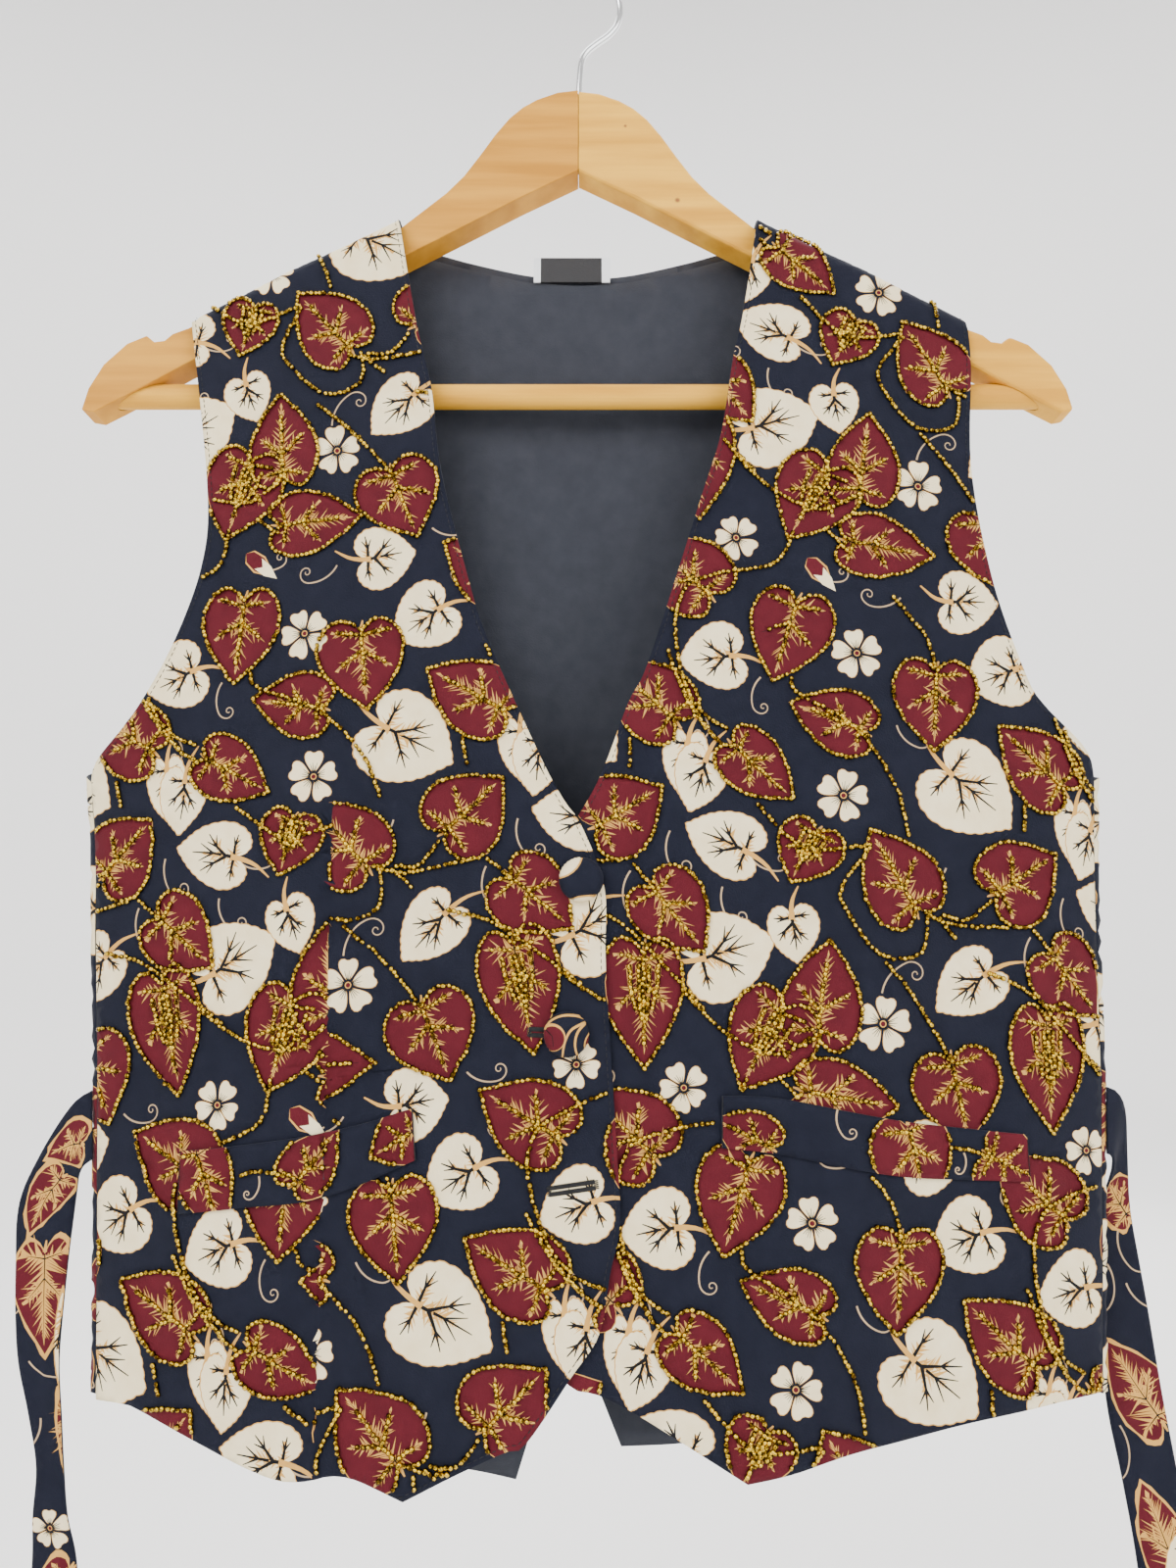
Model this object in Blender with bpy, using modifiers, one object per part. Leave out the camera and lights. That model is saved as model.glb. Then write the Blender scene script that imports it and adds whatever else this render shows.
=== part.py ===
"""Beaded waistcoat hanging on a wooden hanger.

Lengths are in millimetres until a mesh is made. The origin is where the hook hangs on its rail.
+X is the viewer's right, the garment faces -Y, and +Z is up. Right and left are the wearer's:
front_right is on the viewer's left and lies on top at the centre.
"""
import math
from collections import namedtuple

import bpy
import bmesh
from mathutils import Vector
from mathutils.bvhtree import BVHTree

MM = 0.001

# Cloth
WALL = 1.6             # printed cloth with its lining
LINING_WALL = 1.0
WELT_WALL = 1.2
TIE_WALL = 1.2
LABEL_WALL = 1.0
GAP = 0.3              # clearance at seams and between layers
OVERLAP_RAISE = 2.5    # how far the top front stands off the one under it
RAISE_X = (-52, -22)   # it rises between these, going inwards
RAISE_Z = (-330, -390) # and between these, going down
SEAM_INSET = 4.0       # side seam, in front of the fold

IN_FRONT = -80.0       # clear of the whole garment

# Hanger
ARM_THICK = 14.0
ARM_ROUND = 1.8
ARM_PAST = 6.0         # the outline runs this far past the middle before the mitre is sawn
ARM_UNDER_CLOTH = 2.8  # wood below the shoulder line of the cloth
ARM_TAPER = 0.02       # how fast it falls away further, past ARM_TAPER_X, as the cloth grows shallow
ARM_TAPER_X = 106.0
SAW_RADIUS = 60.0      # the square block that cuts the mitre
SAW_Z = -85.0
BAR_RADIUS = 5.5
BAR_Z = -211.3
BAR_HALF = 208.0
HOOK_WIRE = 2.8
HOOK_RADIUS = 19.5
HOOK_SINK = 15.0
HOOK_TURN = (-28, 160) # degrees of its round part, from the neck over the rail
WOOD_TOP = -64.8

# Sections of the body: z, the two side folds, and the depth in front and behind at the middle
Section = namedtuple("Section", "z left right front back")
SECTIONS = [
    Section(-100, -236, 236, 14.0, 13.0),
    Section(-185, -236, 236, 14.5, 13.5),
    Section(-260, -228, 234, 19.0, 15.0),
    Section(-340, -214, 226, 24.0, 17.0),
    Section(-382, -210, 222.5, 26.0, 17.5),
    Section(-412, -206, 220.5, 26.5, 17.5),
    Section(-450, -203.7, 219, 26.0, 17.0),
    Section(-510, -199.5, 217.5, 26.0, 17.0),
    Section(-570, -196, 214.2, 27.0, 17.0),
    Section(-634, -192.7, 210.3, 28.0, 17.5),
    Section(-700, -190, 207, 28.5, 18.0),
]

CURVE_STEPS = 12       # straight pieces that stand for a curve between two of its knots
Knot = namedtuple("Knot", "x z")

# Shoulder line, by distance from the middle: the cloth's top edge
SHOULDER = [
    Knot(60, -104), Knot(78, -122), Knot(80.5, -130.2), Knot(106, -143.3),
    Knot(128, -153.8), Knot(149, -165.2), Knot(172, -177.2),
]
NECK_POINT = Knot(80.5, -130.2)
SHOULDER_WRAP = 8.0    # height over which the cloth turns down off the hanger

# Outlines in the front view, from the top down
NECK_RIGHT = [
    Knot(-80.5, -130.2), Knot(-71, -184.1), Knot(-63.7, -214.8), Knot(-58.5, -253.8),
    Knot(-45.8, -302.6), Knot(-37.5, -328.5), Knot(-15.4, -378.4), Knot(-5.4, -397.2),
    Knot(1.7, -407.6), Knot(11, -433), Knot(11.5, -465), Knot(16, -540),
    Knot(16.6, -562), Knot(13, -578), Knot(8.8, -600), Knot(-1.8, -615.5),
    Knot(-19, -639.2), Knot(-28, -642.6), Knot(-64.6, -660.7),
]
NECK_LEFT = [
    Knot(80.5, -130.2), Knot(72.6, -179.5), Knot(67.8, -200.7), Knot(61.8, -236.1),
    Knot(52.4, -266.5), Knot(29.8, -337.8), Knot(20.9, -356.6), Knot(8.2, -389.7),
    Knot(-8.5, -419), Knot(-12.5, -438), Knot(-13.5, -470), Knot(-14.5, -530),
    Knot(-14.5, -585), Knot(-10, -608), Knot(-1.9, -620), Knot(8.4, -622.7),
    Knot(25.3, -631), Knot(63.9, -654.3),
]
ARMHOLE_RIGHT = [
    Knot(-172, -177.2), Knot(-159.4, -261.2), Knot(-160.4, -295.1), Knot(-170.3, -328),
    Knot(-186, -357.5), Knot(-202.7, -377.5),
]
ARMHOLE_LEFT = [
    Knot(172, -177.2), Knot(173, -201.2), Knot(170.2, -251.6), Knot(176.8, -302),
    Knot(188.5, -341.5), Knot(196.4, -355.2), Knot(215, -373.5),
]
SEAM_HEIGHTS = [-386, -389, -400, -425, -460, -500, -540, -580, -610]
HEM_RIGHT = [
    Knot(-64.6, -660.7), Knot(-82.5, -653.6), Knot(-92.3, -652.6), Knot(-102.3, -654.8),
    Knot(-119.7, -652.6), Knot(-167.5, -633.8), Knot(-178.3, -631.6),
]
HEM_LEFT = [
    Knot(63.9, -654.3), Knot(82, -650.8), Knot(114.2, -641.8), Knot(182.2, -630.9),
]
SIDE_HEM_RIGHT = -632.0
SIDE_HEM_LEFT = -629.0

# The back: half-width of its armhole by z, its neckline, and its hem by x
BACK_ARMHOLE = [(-177.2, 172), (-212, 168), (-258, 160), (-300, 165), (-335, 182), (-362, 199)]
BACK_NECK = [
    Knot(0, -146.5), Knot(23, -145), Knot(50, -139), Knot(66, -134.5),
    Knot(77.5, -132.3), Knot(80.5, -130.2),
]
BACK_HEM = [
    Knot(-200, -630), Knot(-170, -637), Knot(-130, -648), Knot(-95, -657),
    Knot(-70, -663), Knot(-43, -667), Knot(-25, -671), Knot(-4, -606),
    Knot(18, -658.5), Knot(43, -657), Knot(75, -652), Knot(110, -647),
    Knot(145, -642), Knot(180, -635), Knot(215, -628),
]

# Rows of the fronts and the back, as fractions from the shoulder down
SHOULDER_ROWS = [0, 0.0015, 0.0045, 0.0095, 0.017, 0.028]
UNDERARM_ROW = 0.47
HEM_SIDE_Z = -630.0
HEM_MEAN_Z = -640.0    # height at which the back's columns are read at the hem
BACK_TURN_HEIGHTS = [-362, -372, -380, -386]

# Columns of the back: where each one starts on the top edge, and where it meets the hem
Column = namedtuple("Column", "top hem")
BACK_COLUMNS = [
    Column(-154, -187), Column(-146, -179), Column(-136, -168), Column(-124, -154),
    Column(-110, -138), Column(-96, -120), Column(-80.5, -101), Column(-77.5, -92), Column(-68, -80),
    Column(-54, -64), Column(-38, -43), Column(-24, -25), Column(-14, -14), Column(-3, -4),
    Column(8, 8), Column(18, 18), Column(34, 43), Column(50, 64), Column(66, 81), Column(77.5, 92),
    Column(80.5, 103), Column(95, 122), Column(109, 140), Column(122, 158), Column(134, 175),
    Column(144, 189), Column(152, 198), Column(158, 204),
]
TURN_COLUMNS = 4       # columns that carry the back round its fold to the seam
FOLD_TURN = 0.19       # radians before the fold where that turn begins
CORE_INSET = 6.0       # above the underarm, from the armhole
LINING_INSET = 6       # columns of the back left without lining at each side
LINING_TOP = 3         # rows of the back left without lining at the top
LINING_HEM_LIFT = 2.0

# Soft folds: where a fold runs, its half-width and its height (a trough is below zero)
Fold = namedtuple("Fold", "x_top z_top x_low z_low half height")
FOLD_TAIL = 0.12       # how far a fold runs past each end, of its length
FOLD_FADE = 0.3        # length over which it fades there
FRONT_FADE = 0.16      # folds of a front fade over this share of the half-width at the side
BACK_FADE = 0.5        # and those of the back over this share of its depth
FOLDS_RIGHT = [
    Fold(-75, -285, -71, -545, 15, -3.2),
    Fold(-96, -395, -98, -650, 9, -1.6),
    Fold(-112, -330, -116, -640, 16, 2.2),
    Fold(-50, -330, -44, -520, 14, 1.6),
    Fold(-150, -400, -146, -620, 20, 1.8),
    Fold(-150, -290, -105, -395, 13, -2.2),
    Fold(-172, -430, -168, -625, 11, -1.4),
]
FOLDS_LEFT = [
    Fold(78, -285, 74, -560, 17, -2.6),
    Fold(112, -330, 114, -650, 18, 2.0),
    Fold(52, -330, 50, -480, 13, 1.5),
    Fold(158, -300, 118, -400, 14, -2.0),
    Fold(152, -420, 148, -640, 18, -1.8),
    Fold(182, -430, 178, -610, 13, 1.4),
]
FOLDS_BACK = [
    Fold(-95, -230, -102, -660, 22, 3.0),
    Fold(-40, -260, -48, -665, 20, -2.4),
    Fold(5, -200, -2, -600, 16, 2.6),
    Fold(60, -270, 52, -655, 20, -2.2),
    Fold(110, -240, 118, -650, 22, 2.8),
    Fold(-150, -390, -146, -640, 16, -1.8),
    Fold(165, -390, 160, -635, 16, -1.8),
]

# Welts: upper and lower edge, from the outer end to the inner end
WELT_RIGHT = ([(-155.4, -535.4), (-133.2, -533), (-94, -526.9), (-64.1, -518.6)],
              [(-155.4, -559.2), (-128.6, -556), (-95.8, -551.5), (-62.4, -538)])
WELT_LEFT = ([(177.6, -529.2), (149, -526.4), (125.4, -523.1), (80.7, -514.9), (56.6, -513.5)],
             [(177.8, -547.3), (149, -546.2), (122.9, -543.8), (81.2, -536.3), (56.2, -533.2)])

STRIP_REACH = (-4, 0, 4)   # a strip clears the cloth this far to each side

BUTTON_RADIUS = 9.0
BUTTON_HEIGHT = 6.0
BUTTON_EDGE = 1.6      # height of its straight side
BUTTON_TUCK = 1.2      # how far its back is smaller all round
BUTTON_OFF = 0.25      # more clearance there, because the cloth under it is curved
BUTTONS = {"button_top": (1.7, -429.4), "button_middle": (-4.0, -489.6)}

# Ties: a row for each cross-line, with its outer and inner edge
TieRow = namedtuple("TieRow", "outer_x outer_z inner_x inner_z y")
TIE_OFF = 0.2          # more clearance at a tie's root
TIE_COLUMNS = 3
TIE_RIGHT = [
    TieRow(-198.6, -514.0, -196.4, -541.0, None),
    TieRow(-203.5, -517.0, -198.6, -542.4, -4.6),
    TieRow(-208.5, -522.5, -200.8, -544.0, -3.2),
    TieRow(-214.5, -531.0, -202.6, -546.5, -1.4),
    TieRow(-220.5, -541.0, -203.9, -549.0, 0.6),
    TieRow(-226.8, -554.0, -205.0, -555.0, 2.4),
    TieRow(-229.3, -566.0, -206.2, -563.5, 3.8),
    TieRow(-228.6, -585.0, -207.8, -584.0, 4.2),
    TieRow(-227.0, -605.0, -208.4, -605.0, 3.4),
    TieRow(-224.6, -622.0, -208.2, -622.0, 3.0),
    TieRow(-219.5, -641.0, -206.3, -641.0, 3.4),
    TieRow(-215.6, -661.0, -205.0, -661.0, 5.0),
    TieRow(-216.4, -680.0, -203.0, -680.0, 6.4),
    TieRow(-215.5, -700.0, -197.5, -700.0, 6.0),
    TieRow(-216.5, -740.0, -195.0, -740.0, 5.0),
    TieRow(-218.0, -790.0, -195.0, -790.0, 5.6),
    TieRow(-217.0, -845.0, -193.2, -845.0, 5.0),
    TieRow(-217.5, -890.0, -193.5, -890.0, 5.4),
]
TIE_LEFT = [
    TieRow(216.8, -512.5, 215.3, -539.0, None),
    TieRow(221.5, -515.0, 217.8, -540.3, -2.9),
    TieRow(225.5, -523.0, 219.2, -545.0, 0.6),
    TieRow(227.0, -540.0, 218.2, -553.0, 4.5),
    TieRow(228.6, -562.0, 214.6, -565.0, 8.6),
    TieRow(231.6, -585.0, 213.0, -586.0, 9.8),
    TieRow(234.6, -607.0, 213.6, -609.0, 10.4),
    TieRow(238.2, -638.0, 215.4, -641.0, 10.6),
    TieRow(241.4, -665.0, 219.6, -668.0, 10.0),
    TieRow(244.6, -697.0, 223.2, -699.0, 9.4),
    TieRow(247.0, -740.0, 225.0, -741.0, 9.0),
    TieRow(248.5, -790.0, 225.5, -790.0, 9.6),
    TieRow(248.0, -845.0, 225.0, -845.0, 9.0),
    TieRow(247.5, -888.0, 223.5, -888.0, 9.4),
]

LABEL_X = (-20.8, 14.6)
LABEL_Z = (-150.0, -138.0)
LABEL_FOOT = 3.0       # the lining is measured this far below the label
LABEL_OFF = 0.3        # more clearance there

# Arm of the hanger, in the front view, for +X: the top edge out to the tip, then back below
ARM_TOP_INNER = [(0, WOOD_TOP), (9.5, -66.0), (19, -69.6), (25.5, -73.5), (31.6, -79.0),
                 (38, -87.2), (45, -97.8), (52, -107.8), (60, -116.4), (69, -124.0), (80.5, -133.8)]
ARM_TOP_OUTER = [(174, -182.0), (181, -184.8), (184.5, -188.0), (189, -188.6), (192.5, -185.6),
                 (201, -189.4), (211, -199.4), (217, -210.5), (219.5, -220.5)]
ARM_BELOW = [(214, -221.5), (204, -216.0), (191, -208.6), (175.5, -199.5), (82, -149.2),
             (48.7, -131.0), (25.7, -118.2), (0, -105.0)]

COLOURS = {
    "printed_cloth": ((0.03, 0.035, 0.06), 0.75, 0.0),
    "plain_lining": ((0.035, 0.037, 0.042), 0.8, 0.0),
    "woven_label": ((0.02, 0.021, 0.024), 0.7, 0.0),
    "birch_wood": ((0.68, 0.5, 0.26), 0.45, 0.0),
    "steel_wire": ((0.6, 0.6, 0.6), 0.25, 1.0),
}


def mix(a, b, t):
    return a + (b - a) * t


def lookup(table, key):
    """Reads a table of (key, value) pairs by straight lines between its rows."""
    rows = sorted(table)
    if key <= rows[0][0]:
        return rows[0][1]
    for (k0, v0), (k1, v1) in zip(rows, rows[1:]):
        if key <= k1:
            return mix(v0, v1, (key - k0) / (k1 - k0))
    return rows[-1][1]


def smooth_step(t):
    t = min(1.0, max(0.0, t))
    return t * t * (3 - 2 * t)


def ramp(value, ends):
    """0 at the first end and 1 at the second, rising smoothly."""
    return smooth_step((value - ends[0]) / (ends[1] - ends[0]))


def section_at(z):
    """The body's section at a height, between the table's rows."""
    rows = SECTIONS
    if z >= rows[0].z:
        return rows[0]
    for upper, lower in zip(rows, rows[1:]):
        if z >= lower.z:
            t = (upper.z - z) / (upper.z - lower.z)
            return Section(*(mix(p, q, t) for p, q in zip(upper, lower)))
    return rows[-1]


def shoulder_line(x):
    """Height of the cloth's top edge by its distance from the middle."""
    return lookup(SHOULDER, abs(x))


def wrap_factor(x, z):
    """0 on the shoulder line, 1 once the cloth hangs straight below the hanger's top."""
    t = min(1.0, max(0.0, (shoulder_line(x) - z) / SHOULDER_WRAP))
    return math.sqrt(1 - (1 - t) ** 2)


def fold_height(folds, x, z):
    total = 0.0
    for fold in folds:
        t = (z - fold.z_top) / (fold.z_low - fold.z_top)
        if -FOLD_TAIL < t < 1 + FOLD_TAIL:
            ends = smooth_step((t + FOLD_TAIL) / FOLD_FADE) * smooth_step((1 + FOLD_TAIL - t) / FOLD_FADE)
            off = (x - mix(fold.x_top, fold.x_low, t)) / fold.half
            total += fold.height * ends * math.exp(-off * off)
    return total


def across(x, z):
    """Place across the section, -1 and 1 at the side folds."""
    row = section_at(z)
    centre = (row.left + row.right) / 2
    return (x - centre) / ((row.right - row.left) / 2)


def front_depth(x, z, folds):
    """y of the middle of a front's wall."""
    u = min(1.0, abs(across(x, z)))
    reach = math.sqrt(1 - u * u)
    soften = smooth_step((1 - u) / FRONT_FADE)
    row = section_at(z)
    return -(row.front * reach + fold_height(folds, x, z) * soften) * wrap_factor(x, z)


def right_depth(x, z):
    """The top front stands off the other one where they overlap."""
    raised = OVERLAP_RAISE * ramp(x, RAISE_X) * ramp(z, RAISE_Z)
    return front_depth(x, z, FOLDS_RIGHT) - raised


def left_depth(x, z):
    return front_depth(x, z, FOLDS_LEFT)


def resample(points, steps):
    """Catmull-Rom curve through the points, read at even fractions of its length."""
    fine = []
    ends = [points[0]] + list(points) + [points[-1]]
    for a, b, c, d in zip(ends, ends[1:], ends[2:], ends[3:]):
        for k in range(CURVE_STEPS):
            t = k / CURVE_STEPS
            fine.append(tuple(
                0.5 * (2 * q + (r - p) * t + (2 * p - 5 * q + 4 * r - s) * t * t
                       + (3 * q - p - 3 * r + s) * t ** 3)
                for p, q, r, s in zip(a, b, c, d)))
    fine.append(tuple(points[-1]))
    lengths = [0.0]
    for p, q in zip(fine, fine[1:]):
        lengths.append(lengths[-1] + math.dist(p, q))
    total = lengths[-1]
    table = list(zip([length / total for length in lengths], fine))
    result = []
    index = 0
    for step in steps:
        while index < len(table) - 2 and table[index + 1][0] < step:
            index += 1
        (t0, p0), (t1, p1) = table[index], table[index + 1]
        t = (step - t0) / (t1 - t0) if t1 > t0 else 0.0
        result.append(tuple(mix(a, b, t) for a, b in zip(p0, p1)))
    return result


def side_line(armhole, seam, rows):
    """Outer edge of a front, with a corner where the armhole meets the seam."""
    upper = [v / UNDERARM_ROW for v in rows if v < UNDERARM_ROW]
    lower = [(v - UNDERARM_ROW) / (1 - UNDERARM_ROW) for v in rows if v >= UNDERARM_ROW]
    return resample(armhole + seam[:1], upper) + resample(seam, lower)


def coons(top, bottom, inner, outer_line, columns, rows):
    """Grid of (x, z) between four edges: top and bottom run from inner to outer."""
    top_line = resample(top, columns)
    bottom_line = resample(bottom, columns)
    inner_line = resample(inner, rows)
    grid = []
    for j, v in enumerate(rows):
        line = []
        for i, u in enumerate(columns):
            point = []
            for k in (0, 1):
                edges = mix(top_line[i][k], bottom_line[i][k], v) \
                    + mix(inner_line[j][k], outer_line[j][k], u)
                corners = mix(mix(top[0][k], top[-1][k], u), mix(bottom[0][k], bottom[-1][k], u), v)
                point.append(edges - corners)
            line.append(tuple(point))
        grid.append(line)
    return grid


def fractions(first, *spans):
    """The given first fractions, then even ones: each span is (end, count)."""
    steps = list(first)
    for end, count in spans:
        start = steps[-1]
        steps += [mix(start, end, k / count) for k in range(1, count + 1)]
    return steps


def material(name):
    colour, roughness, metallic = COLOURS[name]
    made = bpy.data.materials.get(name)
    if made is None:
        made = bpy.data.materials.new(name)
        made.use_nodes = True
        shader = made.node_tree.nodes["Principled BSDF"]
        shader.inputs["Base Color"].default_value = (*colour, 1)
        shader.inputs["Roughness"].default_value = roughness
        shader.inputs["Metallic"].default_value = metallic
    return made


def add_object(name, data, slot, collection):
    made = bpy.data.objects.new(name, data)
    data.materials.append(material(slot))
    collection.objects.link(made)
    return made


def grid_mesh(name, grid):
    """Open sheet through rows of (x, y, z) points in millimetres."""
    width = len(grid[0])
    points = [Vector(p) * MM for line in grid for p in line]
    faces = [(j * width + i, j * width + i + 1, (j + 1) * width + i + 1, (j + 1) * width + i)
             for j in range(len(grid) - 1) for i in range(width - 1)]
    mesh = bpy.data.meshes.new(name)
    mesh.from_pydata(points, [], faces)
    mesh.shade_smooth()
    return mesh


def solid_sheet(name, grid, wall, slot, collection):
    """A wall of even thickness, with the grid in its middle."""
    made = add_object(name, grid_mesh(name, grid), slot, collection)
    thicken = made.modifiers.new("wall", "SOLIDIFY")
    thicken.thickness = wall * MM
    thicken.offset = 0
    thicken.use_even_offset = True
    return made


def surface_of(grid):
    """Ray target of the sheet through a grid, in millimetres."""
    width = len(grid[0])
    points = [Vector(p) for line in grid for p in line]
    faces = []
    for j in range(len(grid) - 1):
        for i in range(width - 1):
            a, b = j * width + i, (j + 1) * width + i
            faces += [(a, a + 1, b + 1), (a, b + 1, b)]
    return BVHTree.FromPolygons(points, faces)


def surface_y(target, x, z):
    """y of a sheet, looked for from the front."""
    return target.ray_cast(Vector((x, IN_FRONT, z)), Vector((0, 1, 0)))[0].y


def front_grid(top, hem, inner, armhole, seam, depth):
    """Grid of one front: fine rows where it leaves the shoulder, fine columns at the side."""
    rows = fractions(SHOULDER_ROWS, (UNDERARM_ROW, 11), (1, 14))
    columns = [1 - c for c in reversed(fractions([0, 0.012, 0.035, 0.07, 0.12], (1, 13)))]
    grid = coons(top, hem + seam[-1:], inner, side_line(armhole, seam, rows), columns, rows)
    return [[(x, depth(x, z), z) for x, z in line] for line in grid]


def shoulder_edge(side):
    return [(side * x, z) for x, z in SHOULDER if x >= NECK_POINT[0]]


def side_seam(side, hem_z):
    """Side seam of a front, just in front of the fold."""
    seam = []
    for z in SEAM_HEIGHTS + [hem_z]:
        row = section_at(z)
        fold_x = row.right if side > 0 else row.left
        seam.append((fold_x - side * (SEAM_INSET + GAP / 2), z))
    return seam


def section_span(z):
    """Middle and half-width of the section at a height."""
    row = section_at(z)
    return (row.left + row.right) / 2, (row.right - row.left) / 2


def back_angles(z):
    """Angles round the section of the back's core, where its turn begins, and of its edge.

    The edge is the armhole above the underarm; below it, past the fold, it is the side seam.
    """
    _, half = section_span(z)
    seam = math.pi - math.asin(1 - (SEAM_INSET - GAP) / half)
    last_z = BACK_ARMHOLE[-1][0]
    armhole = lookup(BACK_ARMHOLE, max(z, last_z))
    armhole_angle = math.asin(min(1.0, armhole / half))
    t = min(1.0, max(0.0, (last_z - z) / (last_z - SEAM_HEIGHTS[0])))
    edge = mix(armhole_angle, seam, 1 - math.sqrt(1 - t * t))
    inset = armhole_angle - math.asin(min(1.0, (armhole - CORE_INSET) / half))
    return min(edge - inset, math.pi / 2 - FOLD_TURN), edge


def back_point(angle, z):
    """Point of the back at an angle round the section: 0 is the middle, a quarter turn the fold."""
    row = section_at(z)
    half = (row.right - row.left) / 2
    centre = (row.left + row.right) / 2
    x = centre + half * math.sin(angle)
    wrap = wrap_factor(x, z)
    if abs(angle) <= math.pi / 2:
        reach = math.cos(angle)
        soften = smooth_step(reach / BACK_FADE)
        y = (row.back * reach + fold_height(FOLDS_BACK, x, z) * soften) * wrap
    else:
        y = row.front * math.cos(angle) * wrap
    return (x, y, z)


def back_top(x):
    """Top edge of the back: neckline, then shoulder."""
    if abs(x) < NECK_POINT[0]:
        return lookup(BACK_NECK, abs(x))
    return shoulder_line(x)


def core_place(x, z):
    """Place of an x across the back's core at a height, from -1 to 1."""
    centre, half = section_span(z)
    core, _ = back_angles(z)
    return (x - centre) / (half * math.sin(core))


def back_row(places, sides):
    """One row: the turn at the left edge, the core's columns, and the turn at the right edge."""
    turns = []
    for side, z in zip((-1, 1), sides):
        core, edge = back_angles(z)
        turns.append([back_point(side * mix(core, edge, k / TURN_COLUMNS), z)
                      for k in range(1, TURN_COLUMNS + 1)])
    line = list(reversed(turns[0]))
    for place, z in places:
        core, _ = back_angles(z)
        line.append(back_point(math.asin(place * math.sin(core)), z))
    return line + turns[1]


def back_grid():
    """The back's points: each column runs from its place on the top edge to its place on the hem."""
    end = SHOULDER[-1]
    grid = []
    turn_rows = [(end.z - z) / (end.z - HEM_SIDE_Z) for z in BACK_TURN_HEIGHTS]
    for v in fractions(SHOULDER_ROWS, (turn_rows[0], 8), *[(v, 1) for v in turn_rows[1:]], (1, 11)):
        places = []
        for column in BACK_COLUMNS:
            top, hem = core_place(column.top, end.z), core_place(column.hem, HEM_MEAN_Z)
            place = mix(top, hem, smooth_step(v))
            z = mix(back_top(column.top), lookup(BACK_HEM, column.hem), v)
            places.append((place, z))

        sides = [mix(end.z, corner.z, v) for corner in (BACK_HEM[0], BACK_HEM[-1])]
        grid.append(back_row(places, sides))
    return grid


def lining_grid(outer):
    """The lining: the back's own points, moved inwards, clear of the side folds."""
    inward = (WALL + LINING_WALL) / 2 + 2 * GAP
    last = len(outer) - 1
    grid = []
    for j in range(LINING_TOP, len(outer)):
        lift = LINING_HEM_LIFT if j == last else 0.0
        line = []
        for i in range(LINING_INSET, len(outer[j]) - LINING_INSET):
            along = Vector(outer[j][i + 1]) - Vector(outer[j][i - 1])
            down = Vector(outer[min(j + 1, last)][i]) - Vector(outer[j - 1][i])
            normal = along.cross(down).normalized()
            if normal.y > 0:
                normal.negate()
            moved = Vector(outer[j][i]) + normal * inward
            line.append((moved.x, moved.y, moved.z + lift))
        grid.append(line)
    return grid


def laid_strip(upper, lower, surface, wall, columns, rows):
    """A strip that lies on a front: its edges in the front view, its depth from the front."""
    across_steps = [k / columns for k in range(columns + 1)]
    top = resample(upper, across_steps)
    low = resample(lower, across_steps)
    off = (WALL + wall) / 2 + GAP
    grid = []
    for j in range(rows + 1):
        v = j / rows
        line = []
        for p, q in zip(top, low):
            x, z = mix(p[0], q[0], v), mix(p[1], q[1], v)
            outermost = min(surface_y(surface, x + step, z) for step in STRIP_REACH)
            line.append((x, outermost - off, z))
        grid.append(line)
    return grid


def tie_grid(rows):
    """A tie: its root lies on the cloth at the side seam, the rest hangs free."""
    off = (WALL + TIE_WALL) / 2 + GAP + TIE_OFF
    grid = []
    for row in rows:
        line = []
        for k in range(TIE_COLUMNS + 1):
            t = k / TIE_COLUMNS
            x = mix(row.outer_x, row.inner_x, t)
            z = mix(row.outer_z, row.inner_z, t)
            y = row.y
            if y is None:
                y = front_depth(x, z, []) - off
            line.append((x, y, z))
        grid.append(line)
    return grid


def button(name, x, z, surface, collection):
    """Domed covered button, a turned profile with its flat back on the cloth."""
    profile = []
    for k in range(7):
        turn = math.pi / 2 * k / 6
        height = BUTTON_EDGE + (BUTTON_HEIGHT - BUTTON_EDGE) * math.cos(turn)
        profile.append((BUTTON_RADIUS * math.sin(turn), height))
    profile += [(BUTTON_RADIUS - BUTTON_TUCK, 0), (0, 0)]
    mesh = bpy.data.meshes.new(name)
    mesh.from_pydata([Vector((r, 0, h)) * MM for r, h in profile],
                     [(k, k + 1) for k in range(len(profile) - 1)], [])
    made = add_object(name, mesh, "printed_cloth", collection)
    made.location = Vector((x, surface_y(surface, x, z) - WALL / 2 - GAP - BUTTON_OFF, z)) * MM
    made.rotation_euler = (math.pi / 2, 0, 0)
    turn = made.modifiers.new("turn", "SCREW")
    turn.steps = 24
    turn.render_steps = 24
    turn.use_merge_vertices = True
    turn.merge_threshold = 0.00001
    turn.use_normal_calculate = True
    mesh.shade_smooth()
    return made


def curve_mesh(name, curve, collection, slot):
    """A curve turned into a closed mesh with its caps welded."""
    temporary = bpy.data.objects.new(name + "_curve", curve)
    collection.objects.link(temporary)
    bpy.context.view_layer.update()
    shape = bpy.data.meshes.new_from_object(
        temporary.evaluated_get(bpy.context.evaluated_depsgraph_get()))
    work = bmesh.new()
    work.from_mesh(shape)
    bmesh.ops.remove_doubles(work, verts=work.verts, dist=0.00001)
    work.to_mesh(shape)
    work.free()
    made = add_object(name, shape, slot, collection)
    made.matrix_world = temporary.matrix_world
    bpy.data.objects.remove(temporary)
    return made


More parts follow.
